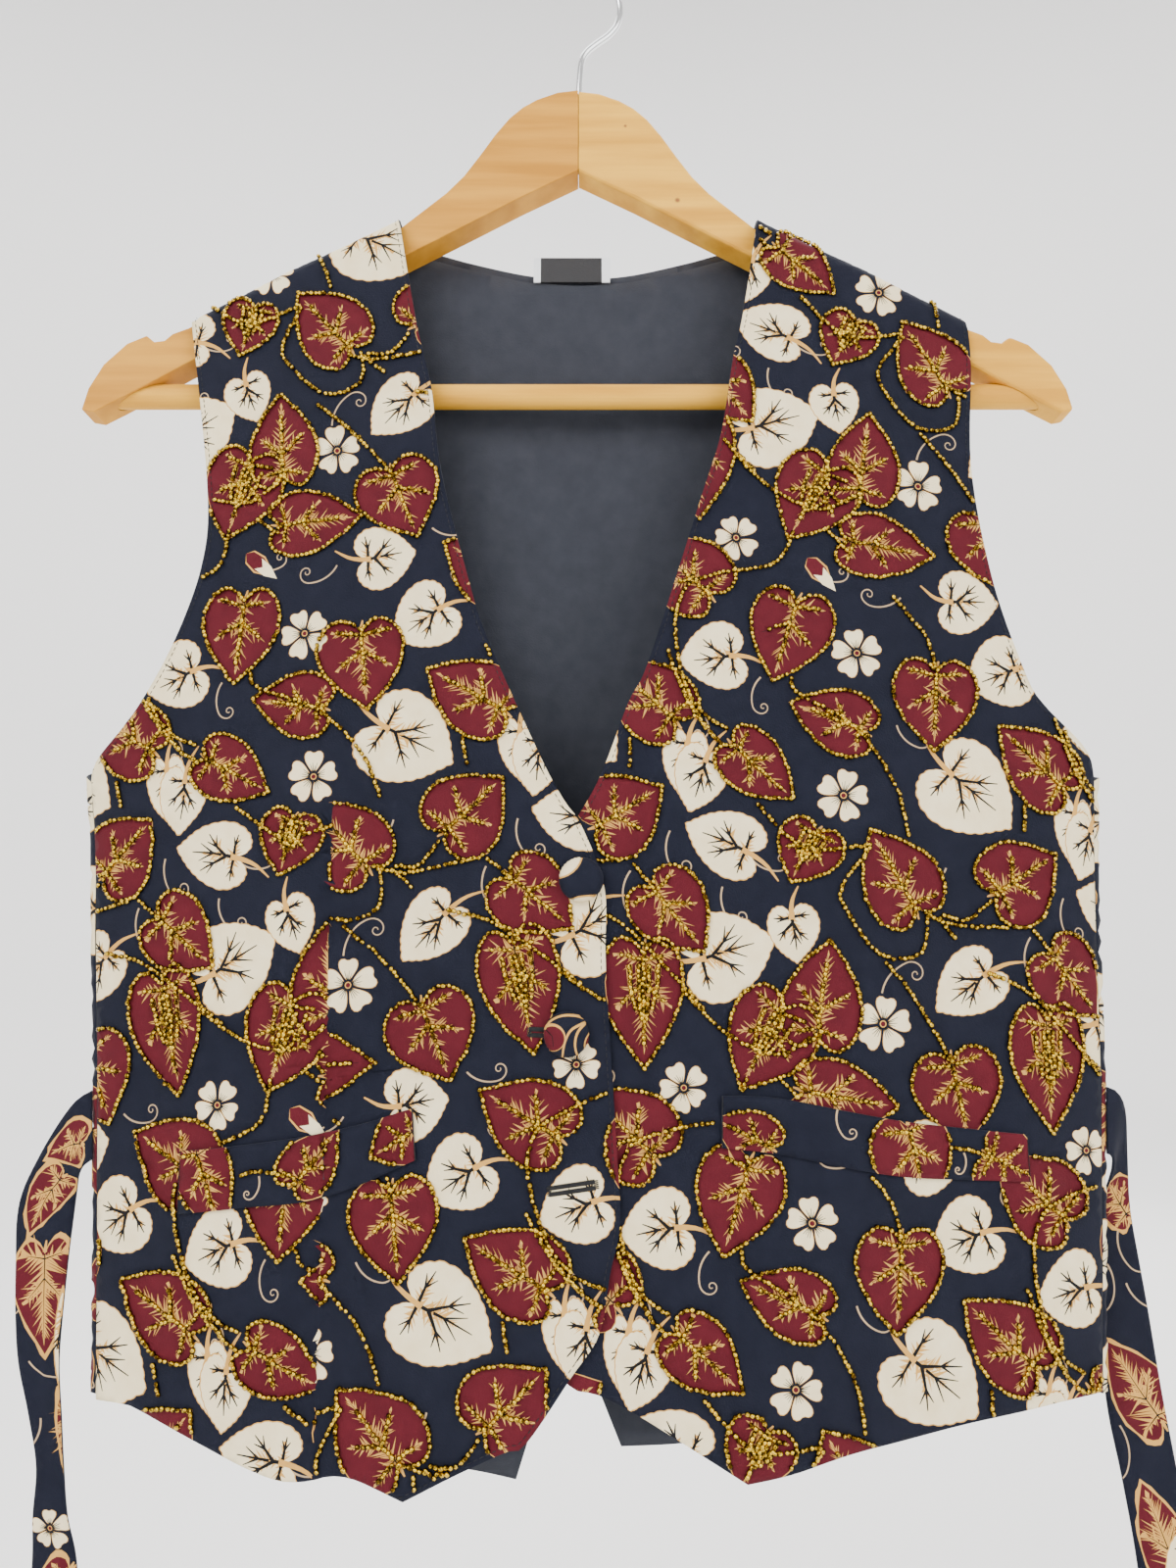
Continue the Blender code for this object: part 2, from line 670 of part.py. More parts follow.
def hanger_arm(name, side, collection, cutters):
    """Half of the hanger: a flat outline as thick as the board, its edges eased, then cut and bored."""
    over_shoulder = [(x, z - ARM_UNDER_CLOTH - ARM_TAPER * (x - ARM_TAPER_X))
                     for x, z in SHOULDER if ARM_TAPER_X <= x < 170]
    past = [(-ARM_PAST, ARM_BELOW[-1][1]), (-ARM_PAST, WOOD_TOP)]
    outline = ARM_TOP_INNER + over_shoulder + ARM_TOP_OUTER + ARM_BELOW + past
    curve = bpy.data.curves.new(name, "CURVE")
    curve.dimensions = "2D"
    curve.fill_mode = "BOTH"
    curve.extrude = ARM_THICK / 2 * MM
    spline = curve.splines.new("POLY")
    spline.points.add(len(outline) - 1)
    for point, (x, z) in zip(spline.points, outline):
        point.co = (side * x * MM, z * MM, 0, 1)
    spline.use_cyclic_u = True
    made = curve_mesh(name, curve, collection, "birch_wood")
    made.rotation_euler = (math.pi / 2, 0, 0)
    rounding = made.modifiers.new("rounding", "BEVEL")
    rounding.width = ARM_ROUND * MM
    rounding.segments = 3
    rounding.limit_method = "ANGLE"
    rounding.angle_limit = math.radians(60)
    for cutter in cutters:
        cut = made.modifiers.new(cutter.name, "BOOLEAN")
        cut.operation = "DIFFERENCE"
        cut.object = cutter
        cut.solver = "EXACT"
    return made


def cylinder(name, radius, start, end, sides, collection):
    """Round bar between two points in millimetres."""
    start, end = Vector(start), Vector(end)
    mesh = bpy.data.meshes.new(name)
    work = bmesh.new()
    bmesh.ops.create_cone(work, cap_ends=True, segments=sides, radius1=radius * MM,
                          radius2=radius * MM, depth=(end - start).length * MM)
    work.to_mesh(mesh)
    work.free()
    made = bpy.data.objects.new(name, mesh)
    made.location = (start + end) / 2 * MM
    made.rotation_euler = (end - start).to_track_quat("Z", "Y").to_euler()
    collection.objects.link(made)
    return made


def cutter(made):
    made.hide_render = True
    made.display_type = "WIRE"
    return made


def hanger_hook(collection):
    """Bent wire: a stem out of the wood, a neck to the right, and a round hook over the rail."""
    centre_z = HOOK_WIRE / 2 - HOOK_RADIUS
    route = [(0, WOOD_TOP - HOOK_SINK), (0, WOOD_TOP), (0.4, -55), (1.5, -44.5), (3.9, -39.6),
             (8.7, -35.2), (13.9, -31.2)]
    turns = 20
    start, end = math.radians(HOOK_TURN[0]), math.radians(HOOK_TURN[1])
    arc = []
    for k in range(turns + 1):
        angle = mix(start, end, k / turns)
        arc.append((HOOK_RADIUS * math.cos(angle), centre_z + HOOK_RADIUS * math.sin(angle)))
    steps = [k / 22 for k in range(23)]
    points = resample(route + arc[:1], steps) + arc[1:]
    curve = bpy.data.curves.new("hanger_hook", "CURVE")
    curve.dimensions = "3D"
    curve.bevel_depth = HOOK_WIRE / 2 * MM
    curve.bevel_resolution = 2
    curve.use_fill_caps = True
    spline = curve.splines.new("POLY")
    spline.points.add(len(points) - 1)
    for point, (x, z) in zip(spline.points, points):
        point.co = (x * MM, 0, z * MM, 1)
    return add_object("hanger_hook", curve, "steel_wire", collection)


def neck_label(lining, collection):
    """Small folded label that stands at the back of the neck, against the lining."""
    surface = surface_of(lining)
    off = (LINING_WALL + LABEL_WALL) / 2 + GAP
    grid = []
    for k in range(4):
        z = mix(LABEL_Z[0], LABEL_Z[1], k / 3)
        line = []
        for i in range(6):
            x = mix(LABEL_X[0], LABEL_X[1], i / 5)
            y = surface_y(surface, x, LABEL_Z[0] - LABEL_FOOT)
            line.append((x, y - off - LABEL_OFF, z))
        grid.append(line)
    return solid_sheet("neck_label", grid, LABEL_WALL, "woven_label", collection)


def build_cloth(garment):
    """Fronts, back, lining, welts, buttons, ties and label."""
    right = front_grid(shoulder_edge(-1), HEM_RIGHT, NECK_RIGHT, ARMHOLE_RIGHT,
                       side_seam(-1, SIDE_HEM_RIGHT), right_depth)
    left = front_grid(shoulder_edge(1), HEM_LEFT, NECK_LEFT, ARMHOLE_LEFT,
                      side_seam(1, SIDE_HEM_LEFT), left_depth)
    right = [[(x, y - GAP / 2, z) for x, y, z in line] for line in right]
    left = [[(x, y - GAP / 2, z) for x, y, z in line] for line in left]
    back = [[(x, y + GAP / 2, z) for x, y, z in line] for line in back_grid()]
    lining = lining_grid(back)
    solid_sheet("front_right", right, WALL, "printed_cloth", garment)
    solid_sheet("front_left", left, WALL, "printed_cloth", garment)
    solid_sheet("back", back, WALL, "printed_cloth", garment)
    solid_sheet("back_lining", lining, LINING_WALL, "plain_lining", garment)
    neck_label(lining, garment)

    right_surface = surface_of(right)
    welt_right = laid_strip(*WELT_RIGHT, right_surface, WELT_WALL, 10, 2)
    welt_left = laid_strip(*WELT_LEFT, surface_of(left), WELT_WALL, 12, 2)
    solid_sheet("welt_right", welt_right, WELT_WALL, "printed_cloth", garment)
    solid_sheet("welt_left", welt_left, WELT_WALL, "printed_cloth", garment)
    for name, (x, z) in BUTTONS.items():
        button(name, x, z, right_surface, garment)
    solid_sheet("tie_right", tie_grid(TIE_RIGHT), TIE_WALL, "printed_cloth", garment)
    solid_sheet("tie_left", tie_grid(TIE_LEFT), TIE_WALL, "printed_cloth", garment)


def build_hanger(garment, tools):
    """Two arms that meet in the middle, the bar glued into both, and the wire hook."""
    bar = cylinder("hanger_bar", BAR_RADIUS, (-BAR_HALF, 0, BAR_Z), (BAR_HALF, 0, BAR_Z), 24, garment)
    bar.data.materials.append(material("birch_wood"))
    bar.data.shade_smooth()
    bar.data.set_sharp_from_angle(angle=math.radians(40))
    bore = cutter(cylinder("bar_bore", BAR_RADIUS + GAP, (-BAR_HALF - GAP, 0, BAR_Z),
                           (BAR_HALF + GAP, 0, BAR_Z), 24, tools))
    stem = cutter(cylinder("stem_bore", HOOK_WIRE / 2 + GAP, (0, 0, WOOD_TOP - HOOK_SINK - GAP),
                           (0, 0, WOOD_TOP + 5), 16, tools))
    for name, side in (("hanger_arm_right", -1), ("hanger_arm_left", 1)):
        saw = cutter(cylinder(name + "_mitre", SAW_RADIUS, (side * GAP / 2, 0, SAW_Z),
                              (-side * 3 * ARM_PAST, 0, SAW_Z), 4, tools))
        hanger_arm(name, side, garment, [saw, bore, stem])
    hanger_hook(garment)


def main():
    for old in list(bpy.data.objects):
        bpy.data.objects.remove(old, do_unlink=True)
    garment = bpy.data.collections.new("beaded_waistcoat")
    tools = bpy.data.collections.new("cutters")
    bpy.context.scene.collection.children.link(garment)
    bpy.context.scene.collection.children.link(tools)
    build_cloth(garment)
    build_hanger(garment, tools)


main()
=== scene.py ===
"""Looks of the beaded waistcoat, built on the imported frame.

Lengths in the tables are millimetres and become metres when a mesh is made. Each piece of cloth is
laid out flat as a plan, where the print is inlaid as flat shapes, and then bent onto the body.
"""
import math
from collections import namedtuple

import bpy
import numpy as np
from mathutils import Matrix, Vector
from mathutils.geometry import delaunay_2d_cdt


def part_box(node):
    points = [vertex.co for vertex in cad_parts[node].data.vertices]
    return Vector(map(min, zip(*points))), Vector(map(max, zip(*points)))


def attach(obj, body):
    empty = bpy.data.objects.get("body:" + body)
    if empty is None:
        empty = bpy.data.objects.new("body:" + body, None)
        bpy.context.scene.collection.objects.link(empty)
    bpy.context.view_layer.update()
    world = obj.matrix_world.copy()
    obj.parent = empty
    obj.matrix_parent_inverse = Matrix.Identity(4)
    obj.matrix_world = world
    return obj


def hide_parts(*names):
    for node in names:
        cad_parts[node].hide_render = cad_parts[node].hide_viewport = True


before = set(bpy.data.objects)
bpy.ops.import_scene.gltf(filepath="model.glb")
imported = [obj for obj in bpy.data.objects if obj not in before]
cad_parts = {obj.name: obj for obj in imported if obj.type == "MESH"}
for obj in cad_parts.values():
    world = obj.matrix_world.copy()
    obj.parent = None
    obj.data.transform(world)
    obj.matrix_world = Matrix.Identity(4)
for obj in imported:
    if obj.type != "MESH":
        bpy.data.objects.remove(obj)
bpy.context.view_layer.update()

MM = 0.001

# Cloth, as in the solid part
WALL = 1.6
GAP = 0.3
WELT_WALL = 1.2
TIE_WALL = 1.2
LINING_WALL = 1.0
OVERLAP_RAISE = 2.5
SEAM_INSET = 4.0
SHOULDER_WRAP = 8.0
SHELL = 1.2            # thickness that is drawn
CREASE_GAIN = 1.5      # the drawn creases, next to their tabled heights
CREASE_MOST = 0.8      # folds up to this height are creases
GRID = 4.0             # spacing of the plan's own points
BACK_GRID = 5.0
LINING_GRID = 7.0
INNER_GRID = 9.0       # and of its inner side
OUTLINE_STEP = 4       # spacing of a panel's outline
EDGE_CLEAR = 1.4       # beads stop this far from an edge
DRAWN_LESS = 0.2       # how much thinner welts and ties are drawn

CURVE_STEPS = 12       # points of a curve between two of its knots


def table(kind, *rows):
    """Rows under the named columns of their kind."""
    return [kind(*row) for row in rows]


Knot = namedtuple("Knot", "x z")
Section = namedtuple("Section", "z left right front back")
SECTIONS = table(Section,
    (-100, -236, 236, 14.0, 13.0), (-185, -236, 236, 14.5, 13.5), (-260, -228, 234, 19.0, 15.0),
    (-340, -214, 226, 24.0, 17.0), (-382, -210, 222.5, 26.0, 17.5), (-412, -206, 220.5, 26.5, 17.5),
    (-450, -203.7, 219, 26.0, 17.0), (-510, -199.5, 217.5, 26.0, 17.0),
    (-570, -196, 214.2, 27.0, 17.0), (-634, -192.7, 210.3, 28.0, 17.5), (-700, -190, 207, 28.5, 18.0))
SHOULDER = table(Knot,
    (60, -104), (78, -122), (80.5, -130.2), (106, -143.3), (128, -153.8), (149, -165.2), (172, -177.2))

NECK_RIGHT = table(Knot,
    (-80.5, -130.2), (-71, -184.1), (-63.7, -214.8), (-58.5, -253.8), (-45.8, -302.6), (-37.5, -328.5),
    (-15.4, -378.4), (-5.4, -397.2), (1.7, -407.6), (11, -433), (11.5, -465), (16, -540), (16.6, -562),
    (13, -578), (8.8, -600), (-1.8, -615.5), (-19, -639.2), (-28, -642.6), (-64.6, -660.7))
NECK_LEFT = table(Knot,
    (80.5, -130.2), (72.6, -179.5), (67.8, -200.7), (61.8, -236.1), (52.4, -266.5), (29.8, -337.8),
    (20.9, -356.6), (8.2, -389.7), (-8.5, -419), (-12.5, -438), (-13.5, -470), (-14.5, -530),
    (-14.5, -585), (-10, -608), (-1.9, -620), (8.4, -622.7), (25.3, -631), (63.9, -654.3))
ARMHOLE_RIGHT = table(Knot,
    (-172, -177.2), (-159.4, -261.2), (-160.4, -295.1), (-170.3, -328), (-186, -357.5),
    (-202.7, -377.5))
ARMHOLE_LEFT = table(Knot,
    (172, -177.2), (173, -201.2), (170.2, -251.6), (176.8, -302), (188.5, -341.5), (196.4, -355.2),
    (215, -373.5))
SEAM_HEIGHTS = [-386, -389, -400, -425, -460, -500, -540, -580, -610]
HEM_RIGHT = table(Knot,
    (-64.6, -660.7), (-82.5, -653.6), (-92.3, -652.6), (-102.3, -654.8), (-119.7, -652.6),
    (-167.5, -633.8), (-178.3, -631.6))
HEM_LEFT = table(Knot,
    (63.9, -654.3), (82, -650.8), (114.2, -641.8), (182.2, -630.9))
SIDE_HEM_RIGHT = -632.0
SIDE_HEM_LEFT = -629.0
BACK_ARMHOLE = [(-177.2, 172), (-212, 168), (-258, 160), (-300, 165), (-335, 182), (-362, 199)]
BACK_NECK = table(Knot,
    (0, -146.5), (23, -145), (50, -139), (66, -134.5), (77.5, -132.3), (80.5, -130.2))
BACK_HEM = table(Knot,
    (-200, -630), (-170, -637), (-130, -648), (-95, -657), (-70, -663), (-43, -667), (-25, -671),
    (-4, -606), (18, -658.5), (43, -657), (75, -652), (110, -647), (145, -642), (180, -635),
    (215, -628))
HEM_CORNERS = (-25, -4, 18)
BACK_HEIGHTS = [-177.2, -195, -212, -235, -258, -280, -300, -318, -335, -350, -362, -368, -374,
                -380, -386, -400, -440, -480, -520, -560, -600, -630]
UNDERARM_TOP = -362    # the back's armhole turns out to the seam below this
UNDERARM_DROP = 24

# Soft folds of the solid part, then the fine creases that are only drawn
Fold = namedtuple("Fold", "x_top z_top x_low z_low half height")
FOLDS_RIGHT = table(Fold,
    (-75, -285, -71, -545, 15, -3.2), (-96, -395, -98, -650, 9, -1.6),
    (-112, -330, -116, -640, 16, 2.2), (-50, -330, -44, -520, 14, 1.6),
    (-150, -400, -146, -620, 20, 1.8), (-150, -290, -105, -395, 13, -2.2),
    (-172, -430, -168, -625, 11, -1.4))
FOLDS_LEFT = table(Fold,
    (78, -285, 74, -560, 17, -2.6), (112, -330, 114, -650, 18, 2.0), (52, -330, 50, -480, 13, 1.5),
    (158, -300, 118, -400, 14, -2.0), (152, -420, 148, -640, 18, -1.8),
    (182, -430, 178, -610, 13, 1.4))
FOLDS_BACK = table(Fold,
    (-95, -230, -102, -660, 22, 3.0), (-40, -260, -48, -665, 20, -2.4), (5, -200, -2, -600, 16, 2.6),
    (60, -270, 52, -655, 20, -2.2), (110, -240, 118, -650, 22, 2.8),
    (-150, -390, -146, -640, 16, -1.8), (165, -390, 160, -635, 16, -1.8))
CREASES_RIGHT = table(Fold,
    (-100, -398, -100, -470, 1.6, -0.8), (-99, -480, -99, -655, 1.4, -0.6),
    (-88, -410, -84, -520, 4.0, 0.7), (-122, -220, -96, -300, 4.5, 0.6),
    (-134, -240, -112, -330, 3.5, -0.6), (-62, -250, -72, -330, 4.0, -0.6),
    (-186, -392, -150, -410, 3.5, 0.7), (-182, -405, -140, -438, 3.0, -0.6),
    (-190, -520, -160, -505, 3.0, 0.6), (-188, -530, -163, -548, 2.6, -0.6),
    (-60, -560, -52, -640, 5.0, 0.7), (-84, -575, -80, -650, 4.5, -0.6),
    (-132, -570, -128, -645, 5.0, 0.6), (-30, -430, -60, -450, 3.0, 0.5),
    (-28, -490, -58, -505, 3.0, -0.5), (-156, -560, -150, -630, 4.0, -0.6))
CREASES_LEFT = table(Fold,
    (134, -240, 116, -330, 4.5, 0.7), (150, -252, 134, -345, 3.5, -0.6),
    (66, -250, 74, -335, 4.0, -0.6), (198, -385, 160, -408, 3.5, 0.7),
    (196, -398, 150, -430, 3.0, -0.6), (204, -510, 180, -500, 3.0, 0.6),
    (204, -525, 182, -545, 2.6, -0.6), (88, -400, 92, -500, 4.5, -0.7),
    (124, -430, 130, -505, 4.0, 0.6), (92, -560, 96, -640, 5.0, 0.7), (62, -560, 58, -640, 4.5, -0.7),
    (128, -560, 126, -630, 4.0, -0.6), (164, -548, 168, -625, 4.0, 0.6),
    (190, -540, 186, -610, 3.5, 0.5))
CREASES_BACK = table(Fold,
    (-120, -210, -60, -290, 6.0, 0.8), (118, -215, 66, -300, 6.0, 0.8),
    (-20, -330, -30, -500, 5.0, -0.8), (30, -360, 26, -560, 5.0, 0.8),
    (-70, -480, -74, -640, 5.0, 0.8), (84, -470, 82, -630, 5.0, -0.8),
    (-170, -420, -120, -450, 4.0, 0.8), (176, -420, 130, -455, 4.0, 0.8),
    (-130, -540, -126, -640, 5.0, -0.7), (134, -520, 138, -630, 5.0, 0.7))

WELT_RIGHT = ([(-155.4, -535.4), (-133.2, -533), (-94, -526.9), (-64.1, -518.6)],
              [(-155.4, -559.2), (-128.6, -556), (-95.8, -551.5), (-62.4, -538)])
WELT_LEFT = ([(177.6, -529.2), (149, -526.4), (125.4, -523.1), (80.7, -514.9), (56.6, -513.5)],
             [(177.8, -547.3), (149, -546.2), (122.9, -543.8), (81.2, -536.3), (56.2, -533.2)])
BUTTON_RADIUS = 9.0
BUTTON_HEIGHT = 6.0
BUTTONS = {"button_top": (1.7, -429.4), "button_middle": (-4.0, -489.6)}
BUTTON_EDGE = 1.6      # height of a button's straight side
Hole = namedtuple("Hole", "x_outer z_outer x_inner z_inner")
BUTTONHOLES = table(Hole,
    (-18.6, -488.8, -1.5, -489.6), (-10.5, -548.8, 7.6, -546.2))
LABEL_ENDS = (-17.6, 10.8)
HOOK_WIRE = 2.8
HOOK_RADIUS = 19.5
HOOK_START = -28
HOOK_END = 160
WOOD_TOP = -64.8
MITRE = (-103.9, -66.0)
GLUE_HALF = 0.12
GLUE_DEPTHS = (-6.2, -2.0)

TieRow = namedtuple("TieRow", "outer_x outer_z inner_x inner_z y")
TIE_RIGHT = table(TieRow,
    (-198.6, -514.0, -196.4, -541.0, None), (-203.5, -517.0, -198.6, -542.4, -4.6),
    (-208.5, -522.5, -200.8, -544.0, -3.2), (-214.5, -531.0, -202.6, -546.5, -1.4),
    (-220.5, -541.0, -203.9, -549.0, 0.6), (-226.8, -554.0, -205.0, -555.0, 2.4),
    (-229.3, -566.0, -206.2, -563.5, 3.8), (-228.6, -585.0, -207.8, -584.0, 4.2),
    (-227.0, -605.0, -208.4, -605.0, 3.4), (-224.6, -622.0, -208.2, -622.0, 3.0),
    (-219.5, -641.0, -206.3, -641.0, 3.4), (-215.6, -661.0, -205.0, -661.0, 5.0),
    (-216.4, -680.0, -203.0, -680.0, 6.4), (-215.5, -700.0, -197.5, -700.0, 6.0),
    (-216.5, -740.0, -195.0, -740.0, 5.0), (-218.0, -790.0, -195.0, -790.0, 5.6),
    (-217.0, -845.0, -193.2, -845.0, 5.0), (-217.5, -890.0, -193.5, -890.0, 5.4))
TIE_LEFT = table(TieRow,
    (216.8, -512.5, 215.3, -539.0, None), (221.5, -515.0, 217.8, -540.3, -2.9),
    (225.5, -523.0, 219.2, -545.0, 0.6), (227.0, -540.0, 218.2, -553.0, 4.5),
    (228.6, -562.0, 214.6, -565.0, 8.6), (231.6, -585.0, 213.0, -586.0, 9.8),
    (234.6, -607.0, 213.6, -609.0, 10.4), (238.2, -638.0, 215.4, -641.0, 10.6),
    (241.4, -665.0, 219.6, -668.0, 10.0), (244.6, -697.0, 223.2, -699.0, 9.4),
    (247.0, -740.0, 225.0, -741.0, 9.0), (248.5, -790.0, 225.5, -790.0, 9.6),
    (248.0, -845.0, 225.0, -845.0, 9.0), (247.5, -888.0, 223.5, -888.0, 9.4))

# The print: one repeat, charted on the viewer's right front
REPEAT_ACROSS = (162.6, -26.4)
REPEAT_UP = (25.2, 226.4)
Leaf = namedtuple("Leaf", "kind base_x base_z tip_x tip_z width")
LEAVES = table(Leaf,
    ("cream", 48, -461, 79, -453, 37), ("cream", 69, -418, 44, -407, 27),
    ("cream", 86, -443, 88, -462, 21), ("cream", 166, -466, 144, -481, 26),
    ("cream", 65, -336, 42, -339, 29), ("cream", 45, -373, 42, -395, 18),
    ("cream", 152, -384, 178, -407, 38), ("cream", 157, -311, 178, -312, 29),
    ("cream", 160, -566, 138, -574, 30), ("cream", 215, -406, 208, -428, 22),
    ("cluster", 189, -485, 189, -529, 34), ("cluster", 82, -480, 64, -511, 38),
    ("red", 95, -490, 101, -453, 33), ("red", 90, -512, 126, -518, 29),
    ("red", 149, -501, 155, -532, 39), ("red", 136, -440, 118, -409, 35),
    ("cluster", 97, -410, 86, -430, 27), ("red", 193, -459, 213, -484, 32),
    ("red", 171, -434, 197, -418, 36), ("red", 64, -375, 88, -396, 27),
    ("red", 117, -368, 88, -356, 27), ("red", 150, -342, 147, -376, 37),
    ("red", 92, -313, 81, -347, 36), ("red", 202, -390, 175, -365, 33),
    ("red", 192, -562, 166, -538, 35))
Flower = namedtuple("Flower", "x z radius turn")
FLOWERS = table(Flower,
    (121, -486, 11.0, 10), (67, -284, 9.5, 40), (116, -335, 10.5, 25), (108, -395, 10.5, 0))
Bud = namedtuple("Bud", "base_x base_z tip_x tip_z")
BUDS = [Bud(97, -293, 107, -306)]
VINES = [
    [(41, -317), (47, -305), (65, -299), (84, -295), (92, -280)],
    [(105, -280), (114, -290)],
    [(132, -310), (146, -326), (150, -342)],
    [(89, -345), (90, -351), (104, -360), (117, -370), (130, -391), (134, -412)],
    [(41, -346), (52, -367), (60, -375)],
    [(200, -361), (208, -383), (216, -394)],
    [(73, -398), (92, -416), (118, -415)],
    [(118, -416), (106, -432), (108, -442), (121, -459), (138, -458), (141, -443)],
    [(123, -462), (136, -479), (149, -501)],
    [(140, -442), (153, -447), (181, -448)],
    [(148, -443), (158, -445), (168, -437)],
    [(146, -444), (154, -454)],
    [(185, -449), (193, -459)],
    [(166, -466), (184, -476), (213, -507)],
    [(184, -398), (184, -410)],
    [(43, -474), (58, -489), (78, -498), (93, -491)],
    [(179, -568), (178, -577), (179, -590), (182, -603), (187, -612), (192, -617), (199, -621)],
]
Tendril = namedtuple("Tendril", "x z heading size hand")
TENDRILS = table(Tendril,
    (132, -365, 280, 11, 1), (150, -424, 250, 12, -1), (184, -452, 230, 13, 1), (76, -345, 220, 11, 1),
    (48, -358, 330, 10, -1), (200, -436, 240, 13, 1), (136, -310, 230, 12, -1), (69, -419, 300, 12, 1),
    (121, -474, 80, 14, -1), (162, -530, 300, 11, 1), (100, -300, 310, 10, 1),
    (170, -470, 260, 11, -1), (58, -432, 250, 12, 1), (186, -553, 230, 14, -1))

# Where each panel's cut lies on the repeat: turn and stretch of both directions, then a move
Laying = namedtuple("Laying", "turn_across turn_up stretch_across stretch_up move_x move_z")
LAY_LEFT = Laying(0, 0, 1, 1, 0, 0)
LAY_RIGHT_INNER = Laying(13.0, 11.2, 1.001, 0.985, -302.2, -28.6)
LAY_RIGHT_OUTER = Laying(16.2, 13.1, 0.9525, 1.006, -296.5, -28.7)
LAY_BACK = Laying(3, 3, 1, 1, 40, -20)
DART_X = -99.5
DART_TOP = -396.0

# Print of the pocket welts, charted where each lies
WELT_RIGHT_PRINT = [
    Tendril(-123, -544, 290, 7, -1),
    Leaf("red", -149, -535, -137, -567, 24),
    Leaf("red", -109, -546, -93, -526, 22),
    Leaf("red", -63, -527, -80, -537, 23),
]
WELT_RIGHT_VINES = [[(-130, -543.7), (-124, -542), (-113, -543.7)]]
WELT_LEFT_PRINT = [
    Tendril(102, -518, 245, 9, 1),
    Tendril(152, -536, 300, 6, -1),
    Leaf("red", 75, -533, 53, -522, 21),
    Leaf("red", 129, -525.5, 136, -558, 34),
    Leaf("red", 162, -537, 183, -547, 30),
]
WELT_LEFT_VINES = [[(148, -534), (155, -535), (163, -538)]]

# Print of the ties, charted across and down their length
TIE_RIGHT_PRINT = [
    Tendril(-4, -100, 300, 11, 1), Tendril(-2, -122, 270, 14, -1), Tendril(-6, -66, 200, 12, 1),
    Leaf("bold", 4, -6, -6, -22, 16), Leaf("bold", 3, -27, -6, -50, 17),
    Leaf("bold", 1, -59, 3, -97, 24), Leaf("bold", 9, -118, 7, -145, 8),
    Leaf("cream", 10, -80, 8, -110, 5), Flower(0, -164, 7.5, 20),
    Leaf("bold", 6, -180, -5, -206, 19), Tendril(-2, -214, 260, 13, 1),
    Leaf("cream", -2, -236, 8, -258, 20), Leaf("bold", 2, -266, -3, -298, 23),
    Flower(4, -314, 8, 50), Tendril(-6, -322, 290, 13, -1), Leaf("bold", -4, -338, 6, -364, 20),
]
TIE_LEFT_PRINT = [
    Tendril(2, -48, 250, 14, 1), Tendril(-4, -62, 300, 14, -1), Tendril(3, -70, 280, 13, 1),
    Tendril(-8, -124, 300, 15, -1), Leaf("bold", 6, -44, -6, -24, 16),
    Leaf("bold", 9, -124, -8, -92, 24), Leaf("bold", 4, -180, -4, -146, 20),
    Leaf("cream", 10, -172, 3, -196, 16), Tendril(-5, -196, 280, 13, 1),
    Flower(2, -214, 8, 10), Leaf("bold", -3, -228, 5, -262, 24), Tendril(0, -270, 260, 14, -1),
    Leaf("cream", 4, -288, -6, -310, 19), Leaf("bold", 5, -320, -4, -350, 22), Flower(-2, -364, 8, 30),
]

INKS = ["navy", "red", "tan", "cream", "ink", "tendril", "lining"]
INK = {name: index for index, name in enumerate(INKS)}

BEAD_RADIUS = 1.1
BEAD_LENGTH = 1.9
BEAD_PITCH = 1.9

# Half outline of a leaf, as shares of its length and half-width
HEART = [(0.0, 0.0), (-0.08, 0.14), (-0.15, 0.42), (-0.09, 0.74), (0.09, 0.97), (0.31, 1.0),
         (0.52, 0.84), (0.73, 0.54), (0.89, 0.22), (1.0, 0.0)]
CREAM_HEART = [(0.04, 0.0), (-0.09, 0.12), (-0.19, 0.38), (-0.13, 0.74), (0.07, 0.98), (0.30, 1.0),
               (0.52, 0.86), (0.74, 0.58), (0.90, 0.25), (1.0, 0.0)]
LEAF_MIDDLE = np.array([0.35, 0.0])
# Veins of a leaf, in the same shares, and how far their strokes reach, of the length
Vein = namedtuple("Vein", "start_along start_across end_along end_across reach")
VEINS = table(Vein,
    (0.00, 0.0, 0.84, 0.0, 0.17), (0.05, 0.02, 0.00, 0.62, 0.13), (0.05, -0.02, 0.00, -0.62, 0.13),
    (0.25, 0.0, 0.46, 0.58, 0.13), (0.25, 0.0, 0.46, -0.58, 0.13))
# Veins of a cream leaf: where each ends, and its reach
CREAM_VEINS = [(0.74, 0.04, 0.12), (0.04, 0.72, 0.10), (0.04, -0.68, 0.10), (0.56, 0.54, 0.08),
               (0.52, -0.56, 0.08)]


def smooth_step(t):
    t = np.clip(t, 0.0, 1.0)
    return t * t * (3 - 2 * t)


def section_value(name, z):
    rows = sorted(SECTIONS)
    return np.interp(z, [row.z for row in rows], [getattr(row, name) for row in rows])


def lookup(table, key):
    rows = sorted(table)
    return np.interp(key, [row[0] for row in rows], [row[1] for row in rows])


def travelled(line):
    """Length along a line at each of its points."""
    return np.concatenate([[0], np.cumsum(np.linalg.norm(np.diff(line, axis=0), axis=1))])


def read_at(at, along, line):
    """The point of a line at a length along it."""
    return np.array([np.interp(at, along, line[:, k]) for k in (0, 1)])


def left_of(way):
    """A plan direction, or a column of them, turned to its left."""
    return np.stack([-way[..., 1], way[..., 0]], axis=-1)


def circle(radius, count):
    turns = [2 * math.pi * k / count for k in range(count)]
    return [(radius * math.cos(turn), radius * math.sin(turn)) for turn in turns]


